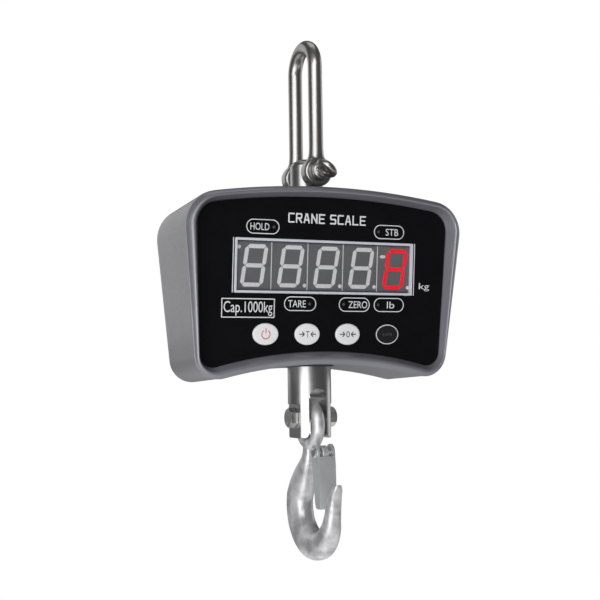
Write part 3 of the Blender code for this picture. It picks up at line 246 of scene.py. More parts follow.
LOOKS = {
    "shackle": metal("polished_stainless", (0.38, 0.375, 0.365), (0.52, 0.515, 0.505), 0.28, 0.34,
                     70.0, (6.0, 6.0, 0.5), 0.000001),
    "turned": metal("turned_steel", (0.42, 0.42, 0.42), (0.54, 0.54, 0.54), 0.28, 0.33,
                    60.0, (1.0, 1.0, 8.0), 0.000001),
    "zinc": metal("zinc_plate", (0.48, 0.49, 0.49), (0.80, 0.80, 0.78), 0.26, 0.40, 220.0,
                  (1, 1, 1), 0.00001),
    "sheet": metal("zinc_sheet", (0.50, 0.52, 0.53), (0.74, 0.76, 0.77), 0.30, 0.46, 240.0,
                   (1, 1, 3), 0.00002, 0.6),
    "hook": forged_zinc("forged_zinc"),
    "shell": paint("silver_paint", (0.27, 0.27, 0.285), (0.32, 0.32, 0.34)),
    "bead": paint("bead_paint", (0.23, 0.23, 0.26), (0.28, 0.28, 0.315), 0.40, (0.28, 0.38)),
    "panel": plastic("gloss_black", (0.0035, 0.0035, 0.0045), (0.005, 0.005, 0.006), (0.16, 0.24), 500.0,
                     0.000003, 0.0, 0.25),
    "print": plastic("white_print", (0.72, 0.73, 0.76), (0.80, 0.81, 0.84), (0.42, 0.55), 900.0),
    "print_dark": plastic("black_print", (0.015, 0.015, 0.02), (0.03, 0.03, 0.035), (0.4, 0.5), 900.0),
    "print_red": plastic("red_print", (0.62, 0.07, 0.09), (0.70, 0.10, 0.12), (0.4, 0.5), 900.0),
    "trim": plastic("trim_grey", (0.58, 0.58, 0.66), (0.68, 0.68, 0.76), (0.3, 0.42), 500.0),
    "face": plastic("module_face", (0.115, 0.115, 0.123), (0.13, 0.13, 0.138), (0.45, 0.6), 1400.0, 0.00003),
    # Unlit segments, decimal points and module joints: faint grey emission, a painted glow; only segment_on
    # is a real lit digit.
    "segment": lit("unlit_segment_painted_glow", (0.62, 0.62, 0.64), (0.5, 0.5, 0.52), 0.14),
    "segment_on": lit("lit_segment", (0.20, 0.0, 0.004), (1.0, 0.002, 0.020), 0.78),
    "lens": clear("display_window"),
    "key": plastic("key_white", (0.84, 0.84, 0.85), (0.90, 0.90, 0.91), (0.30, 0.42), 500.0, 0.00002, 0.2),
    "key_black": plastic("key_black", (0.010, 0.010, 0.012), (0.016, 0.016, 0.018), (0.25, 0.35), 500.0),
    "rubber": plastic("rubber", (0.018, 0.018, 0.018), (0.03, 0.03, 0.03), (0.62, 0.8), 700.0, 0.00006),
    "black": plastic("black_plastic", (0.02, 0.02, 0.022), (0.035, 0.035, 0.04), (0.35, 0.5), 600.0, 0.00004),
    "lamp": plastic("lamp_tint", (0.045, 0.04, 0.045), (0.075, 0.06, 0.065), (0.15, 0.25), 400.0,
                    0.00001, 0.3),
    "wrap": plastic("battery_wrap", (0.03, 0.09, 0.28), (0.05, 0.13, 0.38), (0.3, 0.4), 200.0, 0.00008, 0.3),
    "silicone": plastic("silicone", (0.70, 0.70, 0.66), (0.80, 0.80, 0.76), (0.5, 0.65), 300.0, 0.00005),
    "board": board("circuit_board"),
}


# ---------------------------------------------------------------- mesh helpers

def loft(loops, ring=False):
    mesh_data = bmesh.new()
    rows = [[mesh_data.verts.new(point) for point in loop] for loop in loops]
    pairs = list(zip(rows, rows[1:]))
    if ring:
        pairs.append((rows[-1], rows[0]))
    for low, high in pairs:
        count = len(low)
        for i in range(count):
            j = (i + 1) % count
            mesh_data.faces.new((low[i], low[j], high[j], high[i]))
    if not ring:
        mesh_data.faces.new(rows[0][::-1])
        mesh_data.faces.new(rows[-1])
    return mesh_data


def corners(left, low, right, high):
    return [(left, low), (right, low), (right, high), (left, high)]


def prism(points, low, high, axis="Z"):
    order = {"X": lambda p, h: (h, p[0], p[1]), "Y": lambda p, h: (p[0], h, p[1]),
             "Z": lambda p, h: (p[0], p[1], h)}[axis]
    return loft([[order(p, low) for p in points], [order(p, high) for p in points]])


def box(low, high):
    return prism(corners(low[0], low[1], high[0], high[1]), low[2], high[2])


def turned(profile, axis="Z", centre=(0.0, 0.0, 0.0), sides=64, ring=False):
    put = {"X": lambda a, b, h: (h, a, b), "Y": lambda a, b, h: (a, h, b),
           "Z": lambda a, b, h: (a, b, h)}[axis]
    loops = []
    for radius, height in profile:
        angles = (2 * pi * (i + 0.5) / sides for i in range(sides))
        points = (put(radius * cos(t), radius * sin(t), height) for t in angles)
        loops.append([Vector(point) + Vector(centre) for point in points])
    return loft(loops, ring)


def rod(radius, low, high, axis="Z", centre=(0.0, 0.0, 0.0), sides=64):
    return turned([(radius, low), (radius, high)], axis, centre, sides)


def moved(mesh_data, matrix):
    bmesh.ops.transform(mesh_data, matrix=matrix, verts=mesh_data.verts)
    return mesh_data


def merged(*solids):
    """One bmesh that holds several separate solids."""
    total = bmesh.new()
    for solid in solids:
        copy = bpy.data.meshes.new("part")
        solid.to_mesh(copy)
        solid.free()
        total.from_mesh(copy)
        bpy.data.meshes.remove(copy)
    return total


def new_object(name, mesh_data):
    bmesh.ops.remove_doubles(mesh_data, verts=mesh_data.verts, dist=1e-7)
    bmesh.ops.recalc_face_normals(mesh_data, faces=mesh_data.faces)
    mesh = bpy.data.meshes.new(name)
    mesh_data.to_mesh(mesh)
    mesh_data.free()
    made = bpy.data.objects.new(name, mesh)
    bpy.context.scene.collection.objects.link(made)
    return made


def modify(made, kind, **settings):
    modifier = made.modifiers.new(kind.lower(), kind)
    for key, value in settings.items():
        setattr(modifier, key, value)
    return modifier


def settle(made):
    """Replace the object's mesh by what its modifiers give."""
    depsgraph = bpy.context.evaluated_depsgraph_get()
    mesh = bpy.data.meshes.new_from_object(made.evaluated_get(depsgraph))
    made.modifiers.clear()
    made.data = mesh
    return made


def shape(name, solid, cuts=(), joins=(), bevel=0.0, remesh=0.0, relax=0, angle=30):
    """A solid with other solids joined to it and cut from it, with its edges broken."""
    made = new_object(name, solid)
    tools = []
    for operation, group in (("UNION", joins), ("DIFFERENCE", cuts)):
        for extra in group:
            tool = new_object(name + "_tool", extra)
            modify(made, "BOOLEAN", operation=operation, solver="EXACT", object=tool)
            tools.append(tool)
    if remesh:
        modify(made, "REMESH", mode="VOXEL", voxel_size=remesh)
        modify(made, "SMOOTH", factor=0.5, iterations=relax)
    if bevel:
        modify(made, "BEVEL", width=bevel, segments=2, limit_method="ANGLE", angle_limit=radians(38))
    settle(made)
    for tool in tools:
        bpy.data.objects.remove(tool)
    mesh = made.data
    mesh.shade_smooth()
    if not remesh:
        mesh.set_sharp_from_angle(angle=radians(angle))
        modify(made, "WEIGHTED_NORMAL", keep_sharp=True)
        settle(made)
    return made


def dress(made, look, body, slot, *stands_for):
    made.data.materials.clear()
    made.data.materials.append(LOOKS[look].material)
    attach(made, body)
    if stands_for:
        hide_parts(*stands_for)
    return made


def oval(width, height):
    sides = 72
    return [(width / 2 * cos(2 * pi * i / sides), height / 2 * sin(2 * pi * i / sides)) for i in range(sides)]


def rounded(width, height, corner, steps=8, centre=(0.0, 0.0)):
    points = []
    for sx, sz, start in ((1, 1, 0), (-1, 1, 90), (-1, -1, 180), (1, -1, 270)):
        for i in range(steps + 1):
            turn = radians(start + 90 * i / steps)
            points.append((centre[0] + sx * (width / 2 - corner) + corner * cos(turn),
                           centre[1] + sz * (height / 2 - corner) + corner * sin(turn)))
    return points


def hexagon(flats):
    corner = flats / sqrt(3)
    return [(corner * cos(pi * i / 3 + pi / 6), corner * sin(pi * i / 3 + pi / 6)) for i in range(6)]


def shifted(points, x, z):
    return [(px + x, pz + z) for px, pz in points]


def mm(*pairs, base=(0.0, 0.0)):
    """Pairs in millimetres from a base point, as pairs in metres."""
    return [(base[0] + a * MM, base[1] + b * MM) for a, b in pairs]


# ---------------------------------------------------------------- housing outlines

def outline(half_width, taper, top, bottom, top_corner, bottom_corner, inset=0.0):
    """The housing's closed outline: two shallow arcs, slanted sides and round corners."""
    arc_steps, corner_steps = 16, 12
    top_arc, bottom_arc = 587.0 * MM, 327.0 * MM
    slope = hypot(1.0, taper)
    normal = (1.0 / slope, -taper / slope)
    reach = half_width / slope - inset
    top_radius, top_z = top_arc - inset, top - inset
    bottom_radius, bottom_z = bottom_arc + inset, bottom + inset
    r_top = max(top_corner - inset, 1.0 * MM)
    r_bottom = max(bottom_corner - inset, 1.0 * MM)

    def corner_centre(distance, arc_z, radius):
        along = (-normal[1], normal[0])
        start = (normal[0] * distance, normal[1] * distance - arc_z)
        b = start[0] * along[0] + start[1] * along[1]
        c = start[0] ** 2 + start[1] ** 2 - radius ** 2
        s = -b + sqrt(b * b - c)
        return (start[0] + along[0] * s, start[1] + along[1] * s + arc_z)

    top_mid = top_z - top_radius
    bottom_mid = bottom_z - bottom_radius
    upper = corner_centre(reach - r_top, top_mid, top_radius - r_top)
    lower = corner_centre(reach - r_bottom, bottom_mid, bottom_radius + r_bottom)
    side_turn = atan2(normal[0], normal[1])
    upper_turn = atan2(upper[0], upper[1] - top_mid)
    lower_turn = atan2(lower[0], lower[1] - bottom_mid)

    def arc(centre, radius, start, end, steps):
        turns = (start + (end - start) * i / steps for i in range(steps))
        return [(centre[0] + radius * sin(t), centre[1] + radius * cos(t)) for t in turns]

    half = arc((0.0, top_mid), top_radius, 0.0, upper_turn, arc_steps)
    half += arc(upper, r_top, upper_turn, side_turn, corner_steps)
    half.append((upper[0] + r_top * sin(side_turn), upper[1] + r_top * cos(side_turn)))
    half += arc(lower, r_bottom, side_turn, lower_turn + pi, corner_steps)
    half += arc((0.0, bottom_mid), bottom_radius, lower_turn, 0.0, arc_steps)
    half.append((0.0, bottom_z))
    return half + [(-x, z) for x, z in half[-2:0:-1]]


TOP, BOTTOM = 81.2 * MM, -45.2 * MM
BEAD_FOOT, BEAD_RISE, BEAD_LOW = 3.9 * MM, 5.6 * MM, 0.35
SEAM = 3.0 * MM


def housing(inset=0.0):
    return outline(102.6 * MM, 0.101, TOP, BOTTOM, 24.0 * MM, 17.0 * MM, inset)


def rear(inset=0.0):
    return outline(102.6 * MM, 0.101, TOP - 4.2 * MM, BOTTOM - 2.0 * MM, 24.0 * MM, 17.0 * MM, inset)


def panel(inset=0.0):
    return outline(96.1 * MM, 0.035, TOP - 7.5 * MM, BOTTOM + 9.0 * MM, 15.0 * MM, 10.0 * MM, inset)


def on_front(points, depth):
    return [FRONT @ Vector((x, -depth, z)) for x, z in points]


def on_rear(points, y):
    return [Vector((x, y, DATUM_Z + z)) for x, z in points]


def front_prism(points, inner, outer):
    return loft([on_front(points, inner), on_front(points, outer)])


def front_turned(profile, x, z):
    flipped = [(radius, -depth) for radius, depth in profile]
    return moved(turned(flipped, "Y", (x, 0.0, z), 32), FRONT)


def bead_loop(share, rise):
    loop = []
    for (x_out, z_out), (x_in, z_in) in zip(housing(), panel(-GAP)):
        x, z = x_out + (x_in - x_out) * share, z_out + (z_in - z_out) * share
        height = (z - BOTTOM) / (TOP - BOTTOM)
        fade = BEAD_LOW + (1.0 - BEAD_LOW) * max(height, 0.0)
        loop.append(FRONT @ Vector((x, -BEAD_FOOT - BEAD_RISE * rise * fade, z)))
    return loop


# ---------------------------------------------------------------- housing pieces

POSTS = [(side * (92.6 * MM + 0.101 * z), z) for z in (48.0 * MM, -28.0 * MM) for side in (-1, 1)]
CELL_SCREWS = [(0.0, 60.0 * MM), (0.0, -30.0 * MM)]
BATTERY_Z = 14.0 * MM
DOOR = (84.0 * MM, 56.0 * MM)
DOOR_SCREWS = [(side * (DOOR[0] / 2 - 3.75 * MM), BATTERY_Z) for side in (-1, 1)]


def rear_turned(profile, x, z):
    return turned([(radius, REAR + height) for radius, height in profile], "Y", (x, 0.0, DATUM_Z + z), 40)


def build_shell():
    rim = SEAM - 1.6 * MM
    full = on_front(housing(), rim - 0.6 * MM)
    start = on_rear(rear(), REAR - 4.5 * MM)
    loops = [on_front(housing(0.5 * MM), rim), on_front(housing(0.5 * MM), rim - 0.2 * MM),
             on_front(housing(0.15 * MM), rim - 0.35 * MM), full]
    loops += [[a.lerp(b, share) for a, b in zip(full, start)] for share in (0.04, 0.35, 0.65, 0.95)]
    loops.append(start)
    for turn in range(10, 91, 10):
        inset = 4.5 * MM * (1 - cos(radians(turn)))
        loops.append(on_rear(rear(inset), REAR - 4.5 * MM * (1 - sin(radians(turn)))))
    hollow = [on_front(housing(1.6 * MM), rim + 2.0 * MM), on_front(housing(1.6 * MM), -5.1 * MM),
              on_front(housing(2.8 * MM), -6.5 * MM), on_rear(rear(2.8 * MM), REAR - 8.5 * MM),
              on_rear(rear(4.3 * MM), REAR - 4.0 * MM)]
    top, bottom = DATUM_Z + TOP, DATUM_Z + BOTTOM
    door = rounded(DOOR[0] + 2 * GAP, DOOR[1] + 2 * GAP, 4.3 * MM, centre=(0.0, DATUM_Z + BATTERY_Z))
    opening = rounded(DOOR[0] - 15.0 * MM, DOOR[1] - 6.0 * MM, 2.0 * MM, centre=(0.0, DATUM_Z + BATTERY_Z))
    cuts = [loft(hollow), rod(14.3 * MM, top - 20 * MM, top + 10 * MM),
            rod(18.6 * MM, bottom - 15 * MM, bottom + 15 * MM),
            prism(door, REAR - 2.3 * MM, REAR + 5 * MM, "Y"),
            prism(opening, REAR - 6.0 * MM, REAR + 5 * MM, "Y")]
    for x, z in POSTS + CELL_SCREWS:
        cuts.append(rear_turned(mm((4.3, 3.0), (4.3, -0.4), (2.3, -2.4), (2.3, -12.3)), x, z))
    for x, z in DOOR_SCREWS:
        cuts.append(rear_turned(mm((1.8, 1.0), (1.8, -10.0)), x, z))
    cuts.append(rear_turned(mm((5.8, 5.0), (5.8, -6.0)), -60.0 * MM, -24.0 * MM))
    shell = shape("shell_body", loft(loops), cuts)
    dress(shell, "shell", "housing", "housing_paint", "rear_shell")


def build_frame():
    rim = mm((0.9, 0.0), (0.3, 0.0), (0.08, 0.08), (0.0, 0.3), base=(0.0, SEAM))
    loops = [on_front(housing(inset), depth) for inset, depth in rim]
    rises = ((0.0, 0.0), (0.02, 0.12), (0.05, 0.24), (0.10, 0.40), (0.16, 0.56), (0.23, 0.72), (0.30, 0.86),
             (0.37, 0.95), (0.43, 0.99), (0.49, 0.995), (0.54, 0.96), (0.585, 0.88), (0.62, 0.78),
             (0.66, 0.66))
    loops += [bead_loop(share, rise) for share, rise in rises]
    foot = on_front(panel(-GAP), 0.0)
    loops += [[a.lerp(b, share) for a, b in zip(bead_loop(0.66, 0.66), foot)] for share in (0.3, 0.6, 0.9)]
    loops += [foot, on_front(panel(-GAP), -2.3 * MM), on_front(panel(3.0 * MM), -2.3 * MM),
              on_front(panel(3.0 * MM), -4.5 * MM), on_front(housing(1.9 * MM), -4.5 * MM),
              on_front(housing(1.9 * MM), SEAM)]
    bead = shape("front_bead", loft(loops, ring=True), angle=35)
    dress(bead, "bead", "housing", "bead_paint", "front_frame")


def build_seals():
    top = DATUM_Z + TOP + 0.8 * MM
    inner, outer = 12.3 * MM, 14.0 * MM
    profile = mm((0, -9), base=(inner, top))
    profile += mm((0, -9), (0, -0.6), (-0.25, -0.1), (-0.7, 0), base=(outer, top))
    profile += mm((0.5, -0.2), (0, -0.7), base=(inner, top))
    dress(shape("top_grommet", turned(profile, ring=True)), "rubber", "housing", "rubber_black", "top_seal")
    high = DATUM_Z + BOTTOM + 4.5 * MM
    low = high - 6.0 * MM
    inner, outer = 16.6 * MM, 18.3 * MM
    profile = [(inner, high), (inner, low + 0.6 * MM), (inner + 0.4 * MM, low), (outer - 0.4 * MM, low),
               (outer, low + 0.5 * MM), (outer, high)]
    grommet = shape("bottom_grommet", turned(profile, ring=True))
    dress(grommet, "rubber", "housing", "rubber_black", "bottom_seal")


BUTTONS = [(name, (-46.2 + 32.1 * i) * MM) for i, name in enumerate(("power", "tare", "zero", "spare"))]
BUTTON_Z = -24.0 * MM
KEY = (19.4 * MM, 15.3 * MM)
LAMPS = (("hold", -41.0, 51.3), ("stable", 42.0, 51.0), ("tare", -12.0, -2.4), ("zero", 15.0, -2.4),
         ("unit", 43.3, -2.4))
DISPLAY = (141.0 * MM, 38.4 * MM)
DISPLAY_Z = 24.0 * MM


def build_panel():
    rims = mm((0.0, -2.0), (0.0, -0.35), (0.1, -0.08), (0.35, 0.0))
    plate = loft([on_front(panel(inset), depth) for inset, depth in rims])
    cuts = [front_prism(rounded(DISPLAY[0] + 2 * GAP, DISPLAY[1] + 2 * GAP, 1.0 * MM, 4, (0.0, DISPLAY_Z)),
                        -3 * MM, 1 * MM)]
    for _, x in BUTTONS:
        opening = shifted(oval(KEY[0] + 2 * GAP, KEY[1] + 2 * GAP), x, BUTTON_Z)
        cuts.append(front_prism(opening, -3 * MM, 1 * MM))
    for _, x, z in LAMPS:
        cuts.append(front_turned(mm((1.8, -3), (1.8, 1)), x * MM, z * MM))
    dress(shape("panel_plate", plate, cuts), "panel", "housing", "panel_black", "front_panel")


def bar(start, end, width, slant=0.0):
    """A seven-segment bar with pointed ends between two points, as an outline."""
    a, b = Vector(start), Vector(end)
    along = (b - a).normalized()
    across = Vector((-along.y, along.x)) * width / 2
    points = [a, a + along * width / 2 + across, b - along * width / 2 + across, b,
              b - along * width / 2 - across, a + along * width / 2 - across]
    return [(p.x + slant * p.y, p.y) for p in points]


def build_display():
    width, height = DISPLAY
    centre = (0.0, DISPLAY_Z)

    def frame_loop(inset, depth):
        tight = max(0.8 * MM - inset / 3, 0.2 * MM)
        return on_front(rounded(width - 2 * inset, height - 2 * inset, tight, 4, centre), depth)

    rims = mm((0.0, -2.0), (0.0, 0.25), (0.15, 0.4), (1.6, 0.4), (1.75, 0.25), (1.8, -2.0))
    border = loft([frame_loop(inset, depth) for inset, depth in rims], ring=True)
    dress(shape("display_border", border), "trim", "housing", "trim_grey", "display_trim")
    lens = rounded(width - 4.2 * MM, height - 4.2 * MM, 0.5 * MM, 4, centre)
    pane = loft([on_front(lens, -1.7 * MM), on_front(lens, -0.6 * MM),
                 on_front(rounded(width - 4.4 * MM, height - 4.4 * MM, 0.5 * MM, 4, centre), -0.5 * MM)])
    dress(shape("display_window", pane), "lens", "housing", "lens_clear", "display_lens")
    face = -2.3 * MM
    tall = height - 4.6 * MM
    for i in range(5):
        x = (i - 2) * 28.0 * MM
        body = rounded(27.6 * MM, tall, 0.5 * MM, 3, (x, DISPLAY_Z))
        lip = rounded(27.2 * MM, tall - 0.4 * MM, 0.4 * MM, 3, (x, DISPLAY_Z))
        block = loft([on_front(body, face - 7.0 * MM), on_front(body, face - 0.2 * MM), on_front(lip, face)])
        module = shape(f"module_{i + 1}", block)
        dress(module, "face", "housing", "digit_grey", f"digit_module_{i + 1}")
        half_w, half_h, thick, slant = 7.2 * MM, 13.5 * MM, 2.9 * MM, 0.14
        gap = 0.25 * MM
        strokes = []
        for level in (-1, 0, 1):
            strokes.append(((-half_w + gap, level * half_h), (half_w - gap, level * half_h)))
        for side in (-1, 1):
            for level in (-1, 0):
                low = level * half_h + gap
                strokes.append(((side * half_w, low), (side * half_w, low + half_h - 2 * gap)))
        solids = []
        for start, end in strokes:
            points = bar(start, end, thick, slant)
            solids.append(front_prism(shifted(points, x + 1.0 * MM, DISPLAY_Z),
                                      face - 0.1 * MM, face + 0.18 * MM))
        segments = shape(f"segments_{i + 1}", merged(*solids), bevel=0.08 * MM)
        # All but the last digit take the faintly emitting grey, a painted glow on unlit segments.
        dress(segments, "segment_on" if i == 4 else "segment", "housing", "digit_grey")
        dot_x, dot_z = (12.0, -13.4) if i else (-10.6, 12.8)
        dot = mm((1.4, -0.1), (1.4, 0.12), (1.4 - 0.15, 0.18), base=(0.0, face))
        solids = [front_turned(dot, x + dot_x * MM, DISPLAY_Z + dot_z * MM)]
        if i == 4:
            minus = bar((-12.2 * MM, 8.9 * MM), (-7.0 * MM, 8.9 * MM), 2.3 * MM)
            solids.append(front_prism(shifted(minus, x, DISPLAY_Z), face - 0.1 * MM, face + 0.18 * MM))
        dress(shape(f"points_{i + 1}", merged(*solids)), "segment", "housing", "digit_grey")


def build_module_joints():
    strips = []
    for k in (-1.5, -0.5, 0.5, 1.5):
        strip = shifted(rounded(0.55 * MM, DISPLAY[1] - 4.8 * MM, 0.1 * MM, 1), k * 28.0 * MM, DISPLAY_Z)
        strips.append(front_prism(strip, -2.5 * MM, -2.2 * MM))
    dress(shape("module_joints", merged(*strips)), "segment", "housing", "digit_grey")


def ink(name, solids, look="print", body="housing", slot="trim_grey"):
    return dress(shape(name, merged(*solids)), look, body, slot)


def ring_of(outer, inner, depth):
    return loft([on_front(outer, depth - 0.1 * MM), on_front(outer, depth), on_front(inner, depth),
                 on_front(inner, depth - 0.1 * MM)], ring=True)


INK_TOP = 0.06 * MM


def lettering(name, text, x, z, width, height, depth=INK_TOP, look="print", body="housing",
              slot="trim_grey"):
    """Printed characters, fitted to a width and a height in panel coordinates."""
    curve = bpy.data.curves.new(name, "FONT")
    curve.body = text
    curve.size = 0.01
    curve.resolution_u = 4
    carrier = bpy.data.objects.new(name + "_carrier", curve)
    bpy.context.scene.collection.objects.link(carrier)
    depsgraph = bpy.context.evaluated_depsgraph_get()
    flat = bpy.data.meshes.new_from_object(carrier.evaluated_get(depsgraph))
    bpy.data.objects.remove(carrier)
    mesh_data = bmesh.new()
    mesh_data.from_mesh(flat)
    xs = [v.co.x for v in mesh_data.verts]
    ys = [v.co.y for v in mesh_data.verts]
    low_x, low_y = min(xs), min(ys)
    fx, fy = width / (max(xs) - low_x), height / (max(ys) - low_y)
    left, foot = x - width / 2, z - height / 2
    for v in mesh_data.verts:
        v.co = FRONT @ Vector((left + (v.co.x - low_x) * fx, -depth, foot + (v.co.y - low_y) * fy))
    grown = bmesh.ops.extrude_face_region(mesh_data, geom=list(mesh_data.faces))
    back = FRONT.to_3x3() @ Vector((0.0, 0.1 * MM, 0.0))
    moving = [g for g in grown["geom"] if isinstance(g, bmesh.types.BMVert)]
    bmesh.ops.translate(mesh_data, vec=back, verts=moving)
    return dress(shape(name, mesh_data), look, body, slot)


def pill(name, text, x, z, text_x, text_width):
    width, height, line = 25.0 * MM, 10.3 * MM, 0.62 * MM
    outer = rounded(width, height, height / 2 - 0.01 * MM, 16, (x * MM, z * MM))
    inner = rounded(width - 2 * line, height - 2 * line, height / 2 - line - 0.01 * MM, 16, (x * MM, z * MM))
    ink("outline_" + name, [ring_of(outer, inner, INK_TOP)])
    lettering("word_" + name, text, text_x * MM, z * MM, text_width * MM, 5.0 * MM)


def arrow(x, z, length, head, line, way):
    """An arrow's outlines: a shaft and a two-stroke head, pointing along way (1 or -1)."""
    tip = x + way * length / 2
    tail = x - way * length / 2
    strokes = [((tail, z), (tip, z))]
    strokes += [((tip, z), (tip - way * head, z + side * head)) for side in (1, -1)]
    shapes = []
    for start, end in strokes:
        a, b = Vector(start), Vector(end)
        across = Vector((-(b - a).y, (b - a).x)).normalized() * line / 2
        shapes.append([tuple(a + across), tuple(b + across), tuple(b - across), tuple(a - across)])
    return shapes


LETTERS = {
    "C": [[(1, 1), (0.12, 1), (0, 0.88), (0, 0.12), (0.12, 0), (1, 0)]],
    "R": [[(0, 0), (0, 1), (0.9, 1), (1, 0.9), (1, 0.6), (0.9, 0.5), (0, 0.5)], [(0.45, 0.5), (1, 0)]],
    "A": [[(0, 0), (0.4, 1), (0.6, 1), (1, 0)], [(0.14, 0.32), (0.86, 0.32)]],
    "N": [[(0, 0), (0, 1), (1, 0), (1, 1)]],
    "E": [[(1, 1), (0, 1), (0, 0), (1, 0)], [(0, 0.5), (0.85, 0.5)]],
    "S": [[(1, 1), (0.12, 1), (0, 0.88), (0, 0.62), (0.12, 0.5), (0.88, 0.5), (1, 0.38), (1, 0.12),
           (0.88, 0), (0, 0)]],
    "L": [[(0, 1), (0, 0), (1, 0)]],
}


def block_text(name, text, x, z, width, height, line):
    """Squared capitals drawn as strokes of one width."""
    steps = [0.5 if letter == " " else 1.0 for letter in text]
    pitch = width / (sum(steps) - 0.18)
    wide, tall = pitch * 0.82 - line, height - line
    solids = []
    for place, letter in enumerate(text):
        if letter == " ":
            continue
        left = x - width / 2 + pitch * sum(steps[:place]) + line / 2
        for path in LETTERS[letter]:
            for start, end in zip(path, path[1:]):
                a = Vector((left + start[0] * wide, z - tall / 2 + start[1] * tall))
                b = Vector((left + end[0] * wide, z - tall / 2 + end[1] * tall))
                along = (b - a).normalized() * line / 2
                across = Vector((-along.y, along.x))
                a, b = a - along, b + along
                quad = [tuple(a + across), tuple(b + across), tuple(b - across), tuple(a - across)]
                solids.append(front_prism(quad, -0.04 * MM, INK_TOP + 0.002 * MM * (len(solids) % 9)))
    ink(name, solids)


def build_print():
    pill("hold", "HOLD", -50.0, 51.3, -52.3, 14.3)
    pill("stable", "STB", 50.0, 51.0, 52.4, 10.5)
    pill("tare", "TARE", -20.0, -2.4, -22.5, 13.7)
    pill("zero", "ZERO", 23.0, -2.5, 25.9, 15.2)
    pill("unit", "lb", 51.4, -2.4, 52.9, 6.2)
    block_text("heading", "CRANE SCALE", -0.2 * MM, 58.4 * MM, 61.5 * MM, 7.0 * MM, 1.05 * MM)
    lettering("unit_mark", "kg", 80.7 * MM, 11.2 * MM, 8.8 * MM, 5.9 * MM)
    centre = (-59.6 * MM, -5.8 * MM)
    ink("capacity_box", [ring_of(rounded(40.0 * MM, 13.6 * MM, 0.3 * MM, 2, centre),
                                 rounded(38.6 * MM, 12.2 * MM, 0.2 * MM, 2, centre), INK_TOP)])
    lettering("capacity", "Cap.1000kg", centre[0], centre[1] - 0.4 * MM, 36.6 * MM, 10.2 * MM)
    width, height = DISPLAY
    for side in (-1, 1):
        x = side * (width / 2 + 1.25 * MM)
        line = corners(x - 0.3 * MM, DISPLAY_Z - height / 2, x + 0.3 * MM, DISPLAY_Z + height / 2)
        ink("side_line_left" if side < 0 else "side_line_right", [front_prism(line, -0.04 * MM, INK_TOP)])
    for name, x, z in LAMPS:
        profile = mm((1.5, -9.9), (1.5, -1.4), (1.35, -0.95), (0.95, -0.6), (0.4, -0.42))
        dome = shape("lamp_dome_" + name, front_turned(profile, x * MM, z * MM))
        dress(dome, "lamp", "housing", "lamp_red", "lamp_" + name)


def build_keys():
    for name, x in BUTTONS:
        body = name + "_button"

        def ring_at(grow, depth, x=x):
            return on_front(shifted(oval(KEY[0] + grow, KEY[1] + grow), x, BUTTON_Z), depth)

        rings = mm((2.4, -3.5), (2.4, -2.3), (0.0, -2.3), (0.0, 0.45), (-0.15, 0.7), (-0.5, 0.9),
                   (-1.3, 1.05), (-4.0, 1.14), (-8.0, 1.18))
        loops = [ring_at(grow, depth) for grow, depth in rings]
        stem = front_turned(mm((2.0, -4.5), (2.0, -2.6)), x, BUTTON_Z)
        dark = name == "spare"
        cap = shape("key_" + name, loft(loops), joins=[stem])
        dress(cap, "key_black" if dark else "key", body, "button_black" if dark else "button_white", body)
        top = 1.22 * MM

        def marks(outlines, look, slot, name=name, body=body, top=top):
            solids = [front_prism(points, top - 0.15 * MM, top) for points in outlines]
            ink("mark_" + name, solids, look, body, slot)

        if name == "power":
            ring = []
            for radius in (2.75 * MM, 3.45 * MM):
                ring.append([(radius * sin(t) + x, radius * cos(t) + BUTTON_Z - 0.2 * MM)
                             for t in (radians(32 + 296 * i / 40) for i in range(41))])
            stroke = corners(x - 0.35 * MM, BUTTON_Z + 0.6 * MM, x + 0.35 * MM, BUTTON_Z + 4.2 * MM)
            marks([ring[0] + ring[1][::-1], stroke], "print_red", "button_white")
        elif dark:
            inner = oval(KEY[0] - 0.9 * MM, KEY[1] - 0.9 * MM)
            rim = oval(KEY[0] - 2.1 * MM, KEY[1] - 2.1 * MM)
            flat = [on_front(shifted(edge, x, BUTTON_Z), depth * MM)
                    for edge, depth in ((inner, 1.0), (inner, 1.12), (rim, 1.17), (rim, 1.0))]
            ink("mark_spare_ring", [loft(flat, ring=True)], "print", body, "button_white")
            bars = [corners(x + (k * 2.1 - 0.7) * MM, BUTTON_Z - 1.0 * MM,
                            x + (k * 2.1 + 0.7) * MM, BUTTON_Z + 1.0 * MM) for k in (-1.5, -0.5, 0.5, 1.5)]
            marks(bars, "lamp", "button_black")
        else:
            shapes = arrow(x - 4.5 * MM, BUTTON_Z, 3.9 * MM, 1.8 * MM, 0.72 * MM, 1)
            shapes += arrow(x + 4.5 * MM, BUTTON_Z, 3.9 * MM, 1.8 * MM, 0.72 * MM, -1)
            marks(shapes, "print_dark", "button_white")
            lettering("letter_" + name, "T" if name == "tare" else "0", x, BUTTON_Z, 2.8 * MM, 4.4 * MM, top,
                      "print_dark", body, "button_white")


def screw_head(head, shank, length):
    cone_start = -0.4 * MM
    cone = head - shank
    return [(head - 0.25 * MM, -0.1 * MM), (head, -0.25 * MM), (head, cone_start), (shank, cone_start - cone),
            (shank, -length + 0.6 * MM), (shank - 0.6 * MM, -length)]


def cross_slot(x, z, reach, width, depth):
    arms = []
    for a, b in ((reach, width / 2), (width / 2, reach)):
        arms.append(box((x - a, REAR - depth, DATUM_Z + z - b), (x + a, REAR + 1 * MM, DATUM_Z + z + b)))
    return arms


